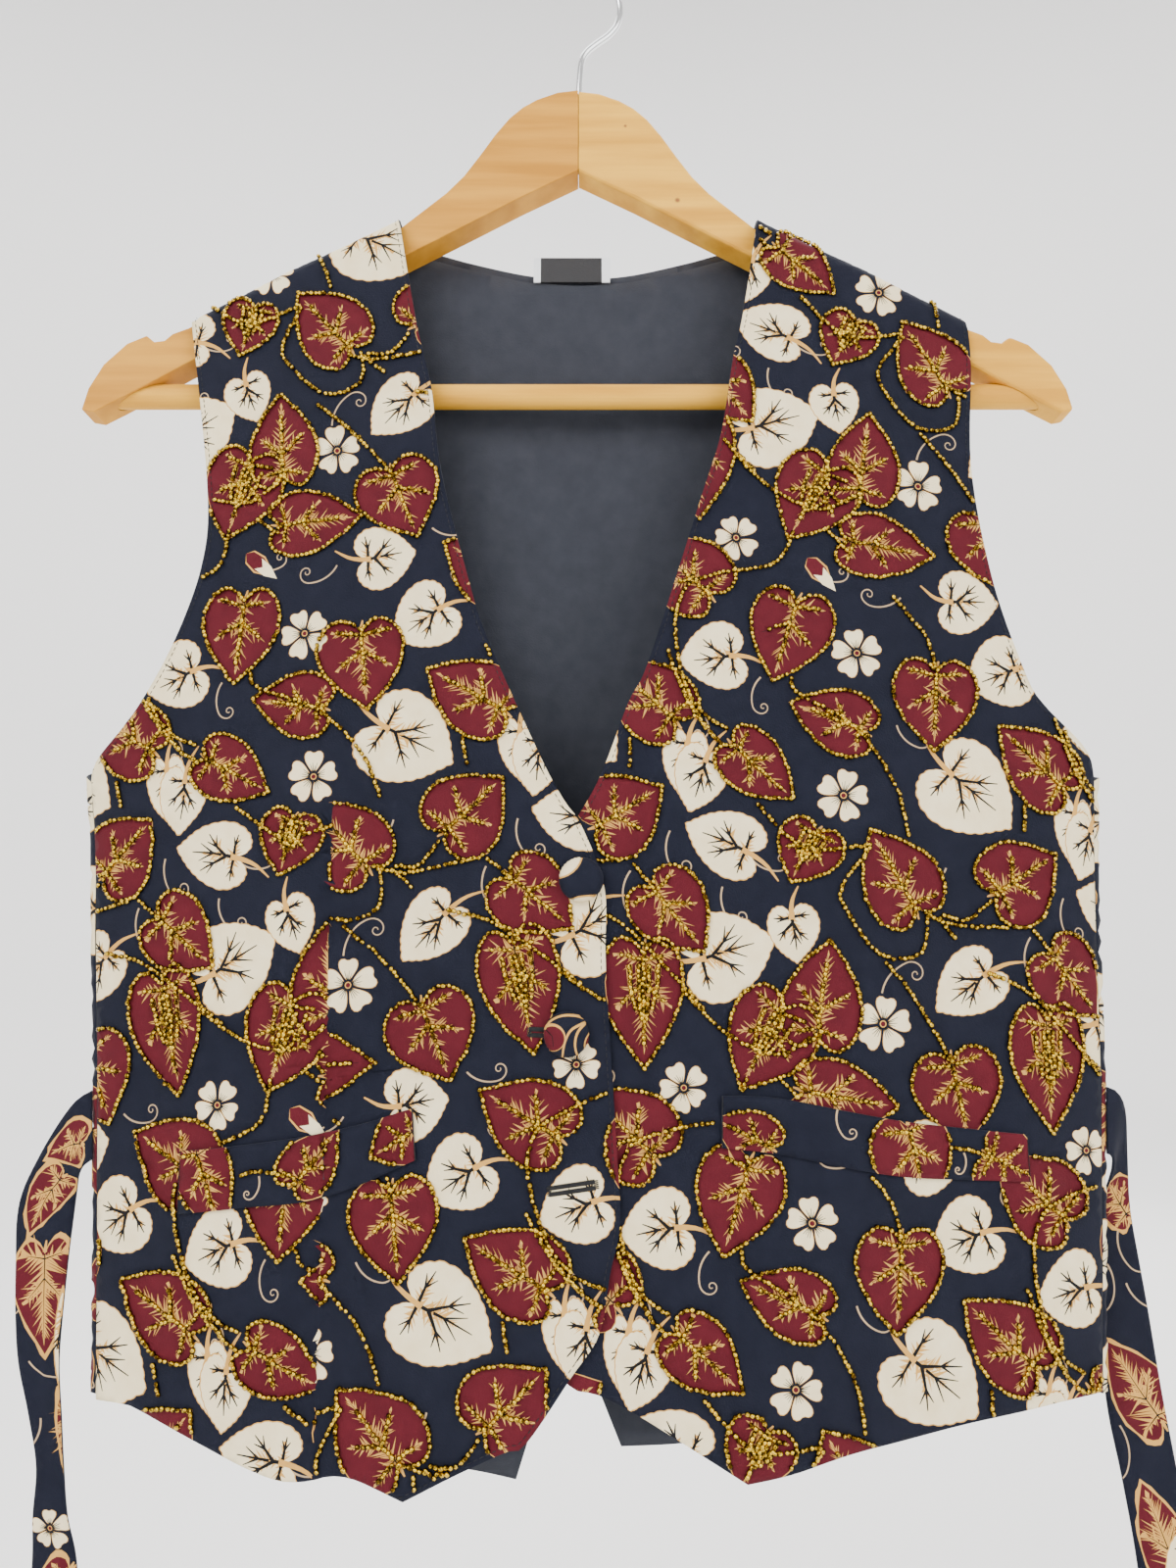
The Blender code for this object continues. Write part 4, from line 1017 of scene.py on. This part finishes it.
def label_cloth():
    """Dark woven band with pale turned ends."""
    made, tree, shader = new_material("label_band", {"Roughness": 0.7})
    where = own_place(tree)
    x = node(tree, "SeparateXYZ", links={"Vector": where}).outputs["X"]
    ends = [node(tree, "Math", {1: limit * MM}, {0: x}, operation=test).outputs["Value"]
            for limit, test in zip(LABEL_ENDS, ("LESS_THAN", "GREATER_THAN"))]
    either = node(tree, "Math", links={0: ends[0], 1: ends[1]}, operation="MAXIMUM").outputs["Value"]
    colour = mixed(tree, either, (0.010, 0.010, 0.012), (0.72, 0.74, 0.76))
    finish(tree, shader, colour, noise(tree, where, 1100, 2), 0.4, 0.0004)
    return made


def gold_beads():
    """Gold beads, a little lighter or darker from one to the next, with near-black patches of painted shade
    among them.
    """
    made, tree, shader = new_material("gold_beads", {"Metallic": 1.0, "Roughness": 0.2})
    shade = spread(tree, noise(tree, own_place(tree), 620, 1), 0.38, 0.62)
    # the near-black colour is painted shade, in patches about a bead across; the other colour is the gold
    finish(tree, shader, mixed(tree, shade, (0.05, 0.024, 0.003), (0.66, 0.43, 0.035)), None, 0, 0)
    return made


def wood(name, dark, light, slope):
    """Pale birch: grain that slopes with the board, and a few small knots."""
    made, tree, shader = new_material(name, {"Roughness": 0.55, "Specular IOR Level": 0.15})
    where = own_place(tree)
    stretch = node(tree, "Mapping", {"Rotation": (0, math.radians(slope), 0), "Scale": (10, 60, 150)},
                   {"Vector": where})
    grain = noise(tree, stretch.outputs["Vector"], 1.0, 6)
    colour = mixed(tree, spread(tree, grain, 0.34, 0.66), dark, light)
    for x, z, size in KNOTS:
        away = node(tree, "VectorMath", {1: (x * MM, KNOT_Y * MM, z * MM)}, {0: where},
                    operation="DISTANCE").outputs["Value"]
        spot = spread(tree, away, size * MM, size * 0.4 * MM)
        knot = mixed(tree, spot, light, KNOT_COLOUR)
        tree.links.new(colour, knot.node.inputs["A"])
        colour = knot
    finish(tree, shader, colour, grain, 0.12, 0.0006)
    return made


def plain(name, colour, roughness, metallic):
    return new_material(name, {"Base Color": (*colour, 1), "Roughness": roughness,
                               "Metallic": metallic})[0]


# Knots of the boards: where each is, and its radius
KNOTS = [(21.5, -83, 0.9), (-82, -110, 1.3), (45, -120, 1.5), (84, -130, 2.2), (-62, -101, 0.9)]
KNOT_Y = -7
KNOT_COLOUR = (0.26, 0.10, 0.03)

MATERIALS = {
    "navy": cloth("navy_cotton", (0.0035, 0.0045, 0.011), (0.008, 0.0095, 0.019), 0.02),
    "red": cloth("red_cotton", (0.058, 0.0045, 0.0090), (0.098, 0.0085, 0.0150), 0.02),
    "tan": cloth("tan_cotton", (0.48, 0.25, 0.055), (0.62, 0.34, 0.085), 0.02),
    "cream": cloth("cream_cotton", (0.72, 0.58, 0.32), (0.88, 0.78, 0.53), 0.02),
    "ink": cloth("ink_cotton", (0.004, 0.004, 0.005), (0.009, 0.008, 0.009), 0.02),
    "tendril": cloth("tendril_cotton", (0.30, 0.22, 0.14), (0.52, 0.36, 0.20), 0.02),
    "lining": cloth("charcoal_lining", (0.020, 0.022, 0.029), (0.036, 0.039, 0.050), 0.03),
    "label": label_cloth(),
    "gold": gold_beads(),
    "thread": plain("dark_thread", (0.004, 0.004, 0.005), 0.85, 0.0),
    "wood_right": wood("birch_right", (0.44, 0.185, 0.014), (0.60, 0.28, 0.030), -28),
    "wood_left": wood("birch_left", (0.58, 0.27, 0.022), (0.78, 0.41, 0.045), 28),
    "glue": plain("mitre_glue", (0.20, 0.085, 0.02), 0.8, 0.0),
    "chrome": plain("chrome_wire", (0.75, 0.76, 0.77), 0.12, 1.0),
}


def shoulder_rows(inner, outer):
    """Extra plan points where the cloth turns down off the hanger."""
    return [(x, float(lookup(SHOULDER, abs(x))) - drop) for drop in (0.3, 0.8, 1.6, 2.6, 4.0, 6.0)
            for x in np.arange(inner, outer, 3.5)]


def sewn(name, plan, point, outline, held, rests_on, **more):
    """Printed cloth that stands for the solid of that name."""
    piece = printed_cloth("cloth_" + name, plan, point, **more)
    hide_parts(name)


# Box of each large plan: low x, low z, high x, high z
RIGHT_BOX = (-215, -665, 20, -125)
LEFT_BOX = (-20, -660, 222, -125)
BACK_BOX = (-225, -675, 240, -125)
# The right front's print changes its laying at the dart, and its beads keep clear of it
DART_NEAR = 30         # below its top, motifs centred this close to the dart are laid on both sides
DART_CLEAR = 0.8
BEADS_SPLIT_Z = -430   # the right front's beads are two pieces
# Where the left front's beads end under the right front: z, then x
UNDER_EDGE = [(-640, 0), (-600, 16), (-400, 6), (-350, -40)]


def build_fronts():
    right_outline = front_outline(-1, NECK_RIGHT, ARMHOLE_RIGHT, HEM_RIGHT, SIDE_HEM_RIGHT)
    left_outline = front_outline(1, NECK_LEFT, ARMHOLE_LEFT, HEM_LEFT, SIDE_HEM_LEFT)
    shapes, tags, lines = [], [], {}
    for laying, outer in ((LAY_RIGHT_INNER, False), (LAY_RIGHT_OUTER, True)):
        def keep(at, outer=outer):
            near = DART_NEAR if at[1] < DART_TOP + 5 else 0
            return at[0] < DART_X + near if outer else at[0] > DART_X - near
        made, lines[outer] = charted(laying, RIGHT_BOX, keep)
        shapes += made
        tags += [outer] * len(made)

    def region(middle, index):
        return middle[1] > DART_TOP or (middle[0] < DART_X) == tags[index]

    plan = inlaid_plan(right_outline, shapes, shoulder_rows(-172, -80), GRID, region)
    sewn("front_right", plan, right_point, right_outline, "hung", ["hanger_arm_right"])
    shapes, left_lines = charted(LAY_LEFT, LEFT_BOX, lambda at: True)
    plan = inlaid_plan(left_outline, shapes, shoulder_rows(80, 172), GRID)
    sewn("front_left", plan, left_point, left_outline, "hung", ["hanger_arm_left"])

    rng = np.random.default_rng(7)
    found = []
    for outer in (False, True):
        def allowed(spots, outer=outer):
            side = (spots[:, 0] < DART_X) == outer
            clear = np.abs(spots[:, 0] - DART_X) > DART_CLEAR
            fine = (spots[:, 1] > DART_TOP) | (side & clear)
            return on_cloth(right_outline, spots) & uncovered(spots) & fine
        found.append(bead_spots(lines[outer], allowed, rng))
    spots, ahead = (np.vstack(runs) for runs in zip(*found))
    lower = spots[:, 1] < BEADS_SPLIT_Z
    place = skin(right_point, 1, WALL / 2)
    bead_piece("beads_front_right_upper", spots[~lower], ahead[~lower], place)
    bead_piece("beads_front_right_lower", spots[lower], ahead[lower], place)

    def allowed_left(spots):
        under = spots[:, 0] < lookup(UNDER_EDGE, spots[:, 1])
        return on_cloth(left_outline, spots) & uncovered(spots) & ~under
    spots, ahead = bead_spots(left_lines, allowed_left, rng)
    bead_piece("beads_front_left", spots, ahead, skin(left_point, 1, WALL / 2))


def edge_clear(outline, spots):
    """Beads stop short of an edge."""
    ring = np.array(outline, float)
    nearest = np.full(len(spots), 1e9)
    for p, q in zip(ring, np.roll(ring, -1, axis=0)):
        d = q - p
        t = np.clip(((spots - p) @ d) / max(1e-9, d @ d), 0, 1)
        nearest = np.minimum(nearest, np.linalg.norm(spots - (p + t[:, None] * d), axis=1))
    return nearest > EDGE_CLEAR


def on_cloth(outline, spots):
    return inside(outline, spots) & edge_clear(outline, spots)


def uncovered(spots):
    """Beads keep off the welts, the buttons and the roots of the ties."""
    x, z = spots[:, 0], spots[:, 1]
    clear = np.ones(len(spots), bool)
    for upper, lower in (WELT_RIGHT, WELT_LEFT):
        strip = [*upper, *reversed(lower)]
        clear &= ~inside(strip, spots) & edge_clear(strip, spots)
    for button_x, button_z in BUTTONS.values():
        clear &= np.hypot(x - button_x, z - button_z) > BUTTON_RADIUS + BEAD_RADIUS
    for root in (TIE_RIGHT[0], TIE_LEFT[0]):
        beside = x * np.sign(root.inner_x) > abs(root.inner_x) - 2 * BEAD_RADIUS
        clear &= ~(beside & (z < root.outer_z + BEAD_RADIUS) & (z > root.inner_z - BEAD_RADIUS))
    return clear


def build_welt(name, edges, rows, vines, point):
    """Pocket welt: a printed strip that lies on a front."""
    upper, lower = edges
    outline = join_runs([resample(upper, 3), resample(lower, 3)[::-1]])
    shapes, lines = placed(rows)
    lines += [resample(vine, 3) for vine in vines]
    lift = WALL / 2 + GAP + WELT_WALL
    plan = inlaid_plan(outline, shapes, [], GRID)
    sewn(name, plan, point, outline, "laid", [name.replace("welt", "front")],
         lift=lift, shell=WELT_WALL - DRAWN_LESS)
    rng = np.random.default_rng(11)
    spots, ahead = bead_spots(lines, lambda spots: on_cloth(outline, spots), rng)
    place = skin(point, 1, lift)
    bead_piece("beads_" + name, spots, ahead, place)
    ends = [resample([upper[k], lower[k]], 3) for k in (0, -1)]
    stitch_piece("stitches_" + name, ends, place, WELT_PITCH)


def build_button(name, marks):
    """Covered button: the cloth is drawn over a dome and down its side."""
    x, z = BUTTONS[name]
    back_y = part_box(name)[1].y / MM

    def point(a, b):
        r = np.hypot(a, b)
        past = np.maximum(0.0, r - BUTTON_RADIUS)
        out = (np.minimum(r, BUTTON_RADIUS) - past * 0.75) / np.maximum(r, 1e-6)
        crown = (BUTTON_HEIGHT - BUTTON_EDGE) * np.sqrt(1 - np.minimum(1.0, r / BUTTON_RADIUS) ** 2)
        return np.stack([x + a * out, back_y - (crown + BUTTON_EDGE - past), z + b * out], axis=-1)

    reach = BUTTON_RADIUS + BUTTON_EDGE - 0.1
    rings = [(r, 8 + int(r * 3)) for r in (1.5, 3, 4.5, 6, 7.2, 8.1, 8.6, 8.9, 9.3, 10)]
    extra = [p for r, n in rings for p in circle(r, n)]
    plan = inlaid_plan(circle(reach, 40), marks, extra, 6.0)
    button = printed_cloth("cloth_" + name, plan, point, 1, 0.0, 0.6)
    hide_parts(name)


def round_mark(ink, x, z, radius):
    return ink, [(x + a, z + b) for a, b in circle(radius, 28)]


def build_buttons():
    top = [round_mark("tan", -9.5, 10.5, 10.3), round_mark("cream", -9.5, 10.5, 9.6),
           round_mark("tan", 3.0, -24.0, 17.8), round_mark("cream", 3.0, -24.0, 17.1)]
    stems = [[(9, 5), (5, 7), (-1, 7.4), (-6, 5.4), (-8.4, 2)], [(8, 5), (2, 2), (-0.6, -3), (-1.6, -9)],
             [(8, 5), (4.4, 1), (3.4, -4), (4.6, -9)]]
    middle = [round_mark("tan", -5.6, -1.0, 5.4), round_mark("red", -5.4, -1.4, 4.7),
              round_mark("tan", 13.2, -4.0, 6.4), round_mark("red", 13.2, -4.0, 5.8)]
    middle += [("tan", ribbon(resample(stem, 1.2), 1.1, 0.7)) for stem in stems]
    middle += [("ink", ribbon([(-8, 2), (-5.4, -0.5), (-5, -4.5)], 0.4, 0.2))]
    build_button("button_top", top)
    build_button("button_middle", middle)


def build_tie(name, rows, motifs, side):
    """A tie's cloth, measured across and down its own length, with a soft fold along it."""
    edge = front_depth(np.array([rows[0].outer_x, rows[0].inner_x]),
                       np.array([rows[0].outer_z, rows[0].inner_z]), [])
    lift = (WALL + TIE_WALL) / 2 + GAP + 0.2
    route = [(*row[:4], row.y, row.y) for row in rows[1:]]
    route = resample([(*rows[0][:4], edge[0] - lift, edge[1] - lift)] + route, 4)
    middle = np.stack([(route[:, 0] + route[:, 2]) / 2, (route[:, 1] + route[:, 3]) / 2], axis=1)
    along = travelled(middle)
    widths = np.hypot(route[:, 0] - route[:, 2], route[:, 1] - route[:, 3])

    def point(a, b):
        ox, oz, ix, iz, oy, iy = (np.interp(-b, along, route[:, k]) for k in range(6))
        share = 0.5 + side * -a / np.interp(-b, along, widths)
        hang = smooth_step((-b - 30) / 60)
        fold = 0.7 * np.exp(-((share - 0.72 - 0.05 * np.sin(b / 70)) / 0.09) ** 2)
        bow = 0.5 * np.sin(math.pi * np.clip(share, 0, 1)) * np.sin(b / 48)
        ripple = 0.3 * np.sin(b / 13 + share * 4)
        y = oy + (iy - oy) * share - hang * (fold + bow + ripple)
        return np.stack([ox + (ix - ox) * share, y, oz + (iz - oz) * share], axis=-1)

    outline = [(-w / 2, -b) for w, b in zip(widths, along)] + \
              [(w / 2, -b) for w, b in zip(widths[::-1], along[::-1])]
    shapes, _ = placed(motifs)
    plan = inlaid_plan(outline, shapes, [], GRID)
    sewn(name, plan, point, outline, "hung", [], lift=TIE_WALL / 2, shell=TIE_WALL - DRAWN_LESS,
         inner_ink="navy")


def inset_line(points, inset):
    """The curve through the points, moved to its left."""
    line = resample(points, 2)
    ahead = np.gradient(line, axis=0)
    ahead /= np.linalg.norm(ahead, axis=1)[:, None]
    return line + left_of(ahead) * inset


def stitch_piece(name, lines, place, pitch=2.6, length=1.7, thick=0.32):
    """Machine stitches: short sunk bars of thread along plan lines."""
    spots, ahead = [], []
    for line in lines:
        line = np.array(line, float)
        along = travelled(line)
        for at in np.arange(pitch / 2, along[-1], pitch):
            here, there = read_at(at, along, line), read_at(at + 0.3, along, line)
            if math.dist(here, there) > 0.01:
                spots.append(here)
                ahead.append((there - here) / math.dist(here, there))
    bar_piece(name, np.array(spots), np.array(ahead), place, length, thick)


def bar_piece(name, spots, ahead, place, length, thick):
    """Small bars of thread that lie on a cloth."""
    bar = ringed(STITCH_RINGS, length, thick / 2)
    strewn(name, spots, ahead, place, 0.3, bar, thick * STITCH_SUNK, "thread")


def build_stitching():
    right, left = skin(right_point, 1, WALL / 2), skin(left_point, 1, WALL / 2)
    runs = [inset_line(NECK_RIGHT, -STITCH_INSET), inset_line(ARMHOLE_RIGHT, STITCH_INSET)]
    stitch_piece("stitches_front_right", runs, right)
    runs = [inset_line(NECK_LEFT[:13], STITCH_INSET), inset_line(ARMHOLE_LEFT, -STITCH_INSET)]
    stitch_piece("stitches_front_left", runs, left)
    spots, ahead = [], []
    for hole in BUTTONHOLES:
        outer, inner = np.array(hole[:2]), np.array(hole[2:])
        length = math.dist(outer, inner)
        along = (inner - outer) / length
        side = left_of(along)
        for k in range(int(length / BUTTONHOLE_PITCH)):
            for row in (-BUTTONHOLE_HALF, BUTTONHOLE_HALF):
                spots.append(outer + along * k * BUTTONHOLE_PITCH + side * row)
                ahead.append(side)
        for end in (outer, inner):
            for k in range(5):
                spots.append(end + side * (k - 2) * BAR_STEP)
                ahead.append(along)
    bar_piece("stitches_buttonholes", np.array(spots), np.array(ahead), right, 1.9, 0.5)


def build_lining():
    """Plain lining inside the back."""
    top = [(x, float(lookup(BACK_NECK, abs(x)) if abs(x) < 80.5 else lookup(SHOULDER, abs(x))) - 4.5)
           for x in range(-136, 135, 6)]
    right = [(134, top[-1][1]), (142, -240), (150, -330), (168, -420), (175, -520), (175, -633)]
    left = [(-136, top[0][1]), (-140, -240), (-146, -330), (-160, -420), (-168, -520), (-168, -635)]
    hem = [(x, z + 2.2) for x, z in BACK_HEM if -166 < x < 172]
    hem = [(-168, -635), *hem[1:-1], (175, -633)]
    outline = join_runs([resample(left, 6), *hem_runs(hem), resample(right, 6)[::-1], top[::-1]])
    plan = inlaid_plan(outline, [("lining", outline)], [], LINING_GRID)
    lift = -(WALL / 2 + 2 * GAP)
    lining = printed_cloth("cloth_lining", plan, back_point, -1, lift, LINING_WALL)
    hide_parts("back_lining")


def build_hook():
    """Smooth wire along the solid hook's line."""
    centre_z = HOOK_WIRE / 2 - HOOK_RADIUS
    route = [(0, WOOD_TOP - 1), (0, WOOD_TOP), (0.4, -55), (1.5, -44.5), (3.9, -39.6), (8.7, -35.2),
             (13.9, -31.2)]
    angles = np.radians(np.linspace(HOOK_START, HOOK_END, 40))
    arc = [(HOOK_RADIUS * math.cos(a), centre_z + HOOK_RADIUS * math.sin(a)) for a in angles]
    points = np.vstack([resample(route + arc[:1], 2), arc[1:]])
    curve = bpy.data.curves.new("wire_hook", "CURVE")
    curve.dimensions = "3D"
    curve.bevel_depth = HOOK_WIRE / 2 * MM
    curve.bevel_resolution = 5
    curve.use_fill_caps = True
    spline = curve.splines.new("POLY")
    spline.points.add(len(points) - 1)
    for knot, (x, z) in zip(spline.points, points):
        knot.co = (x * MM, 0, z * MM, 1)
    spline.use_smooth = True
    curve.materials.append(MATERIALS["chrome"])
    wire = add_object("wire_hook", curve)
    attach(wire, "root")
    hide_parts("hanger_hook")


def build_mitre():
    """Line of dry glue between the two arms, in front of the wire."""
    verts = [(x, y, z) for z in MITRE for y in GLUE_DEPTHS for x in (-GLUE_HALF, GLUE_HALF)]
    faces = [(0, 1, 5, 4), (2, 6, 7, 3), (0, 4, 6, 2), (1, 3, 7, 5), (0, 2, 3, 1), (4, 5, 7, 6)]
    add_piece("mitre_glue", verts, faces, [MATERIALS["glue"]], smooth=False)


def build_back():
    outline = back_outline()
    shapes, _ = charted(LAY_BACK, BACK_BOX, lambda at: True)
    extra = [p for p in shoulder_rows(-172, 172) if abs(p[0]) > 80]
    plan = inlaid_plan(outline, shapes, extra, BACK_GRID)
    sewn("back", plan, back_point, outline, "hung", ["hanger_arm_right", "hanger_arm_left"], outward=-1)


def build_stage():
    """A pale floor that rises all round into a backdrop."""
    profile = [(0.0, -1.0), (2.6, -1.0), (3.1, -0.9), (3.45, -0.6), (3.6, -0.1), (3.65, 9.0)]
    turns = 48
    verts = [(x, y, z) for r, z in profile for x, y in circle(r, turns)]
    faces = [(i * turns + k, i * turns + (k + 1) % turns, (i + 1) * turns + (k + 1) % turns,
              (i + 1) * turns + k) for i in range(len(profile) - 1) for k in range(turns)]
    mesh = bpy.data.meshes.new("stage")
    mesh.from_pydata(verts, [], faces)
    mesh.shade_smooth()
    mesh.materials.append(plain("stage_paper", (0.86, 0.85, 0.84), 0.9, 0.0))
    add_object("stage", mesh)


# The photo's camera, in metres, degrees up and millimetres of lens
CAMERA_PLACE = (0.0044, -0.499, -0.4577)
CAMERA_PITCH = 8.1
CAMERA_LENS = 27.045
CAMERA_SENSOR = 36.0


def area_light(name, place, target, size, power):
    data = bpy.data.lights.new(name, "AREA")
    data.shape = "RECTANGLE"
    data.size, data.size_y = size
    data.energy = power
    light = add_object(name, data)
    light.location = place
    light.rotation_euler = (Vector(target) - Vector(place)).to_track_quat("-Z", "Y").to_euler()


def build_light_and_camera():
    middle = (0, 0, -0.45)
    area_light("key", (-1.1, -1.9, 0.9), middle, (1.4, 1.4), 62)
    area_light("fill", (1.5, -1.8, 0.1), middle, (1.6, 1.8), 40)
    area_light("top", (0, 0.3, 1.8), middle, (2.0, 2.0), 40)
    area_light("wall", (0.0, 1.0, 2.4), (0, 3.6, -0.3), (3.0, 1.6), 110)
    area_light("behind", (0.8, 2.0, 0.6), middle, (1.6, 1.6), 30)
    world = bpy.data.worlds.new("studio")
    world.use_nodes = True
    background = world.node_tree.nodes["Background"]
    background.inputs["Color"].default_value = (0.92, 0.95, 1.0, 1)
    background.inputs["Strength"].default_value = 0.9
    bpy.context.scene.world = world
    data = bpy.data.cameras.new("camera")
    data.sensor_width = CAMERA_SENSOR
    data.lens = CAMERA_LENS
    camera = add_object("camera", data)
    camera.location = CAMERA_PLACE
    camera.rotation_euler = (math.radians(90 + CAMERA_PITCH), 0, 0)
    bpy.context.scene.camera = camera


def dress_frame():
    """Materials of the CAD nodes that stay shown."""
    finishes = {"hanger_arm_right": "wood_right", "hanger_arm_left": "wood_left",
                "hanger_bar": "wood_left", "neck_label": "label"}
    for name, finish in finishes.items():
        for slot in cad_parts[name].material_slots:
            slot.material = MATERIALS[finish]


build_stage()
dress_frame()
build_fronts()
build_welt("welt_right", WELT_RIGHT, WELT_RIGHT_PRINT, WELT_RIGHT_VINES, right_point)
build_welt("welt_left", WELT_LEFT, WELT_LEFT_PRINT, WELT_LEFT_VINES, left_point)
build_buttons()
build_tie("tie_right", TIE_RIGHT, TIE_RIGHT_PRINT, -1)
build_tie("tie_left", TIE_LEFT, TIE_LEFT_PRINT, 1)
build_stitching()
build_back()
build_lining()
build_hook()
build_mitre()
build_light_and_camera()
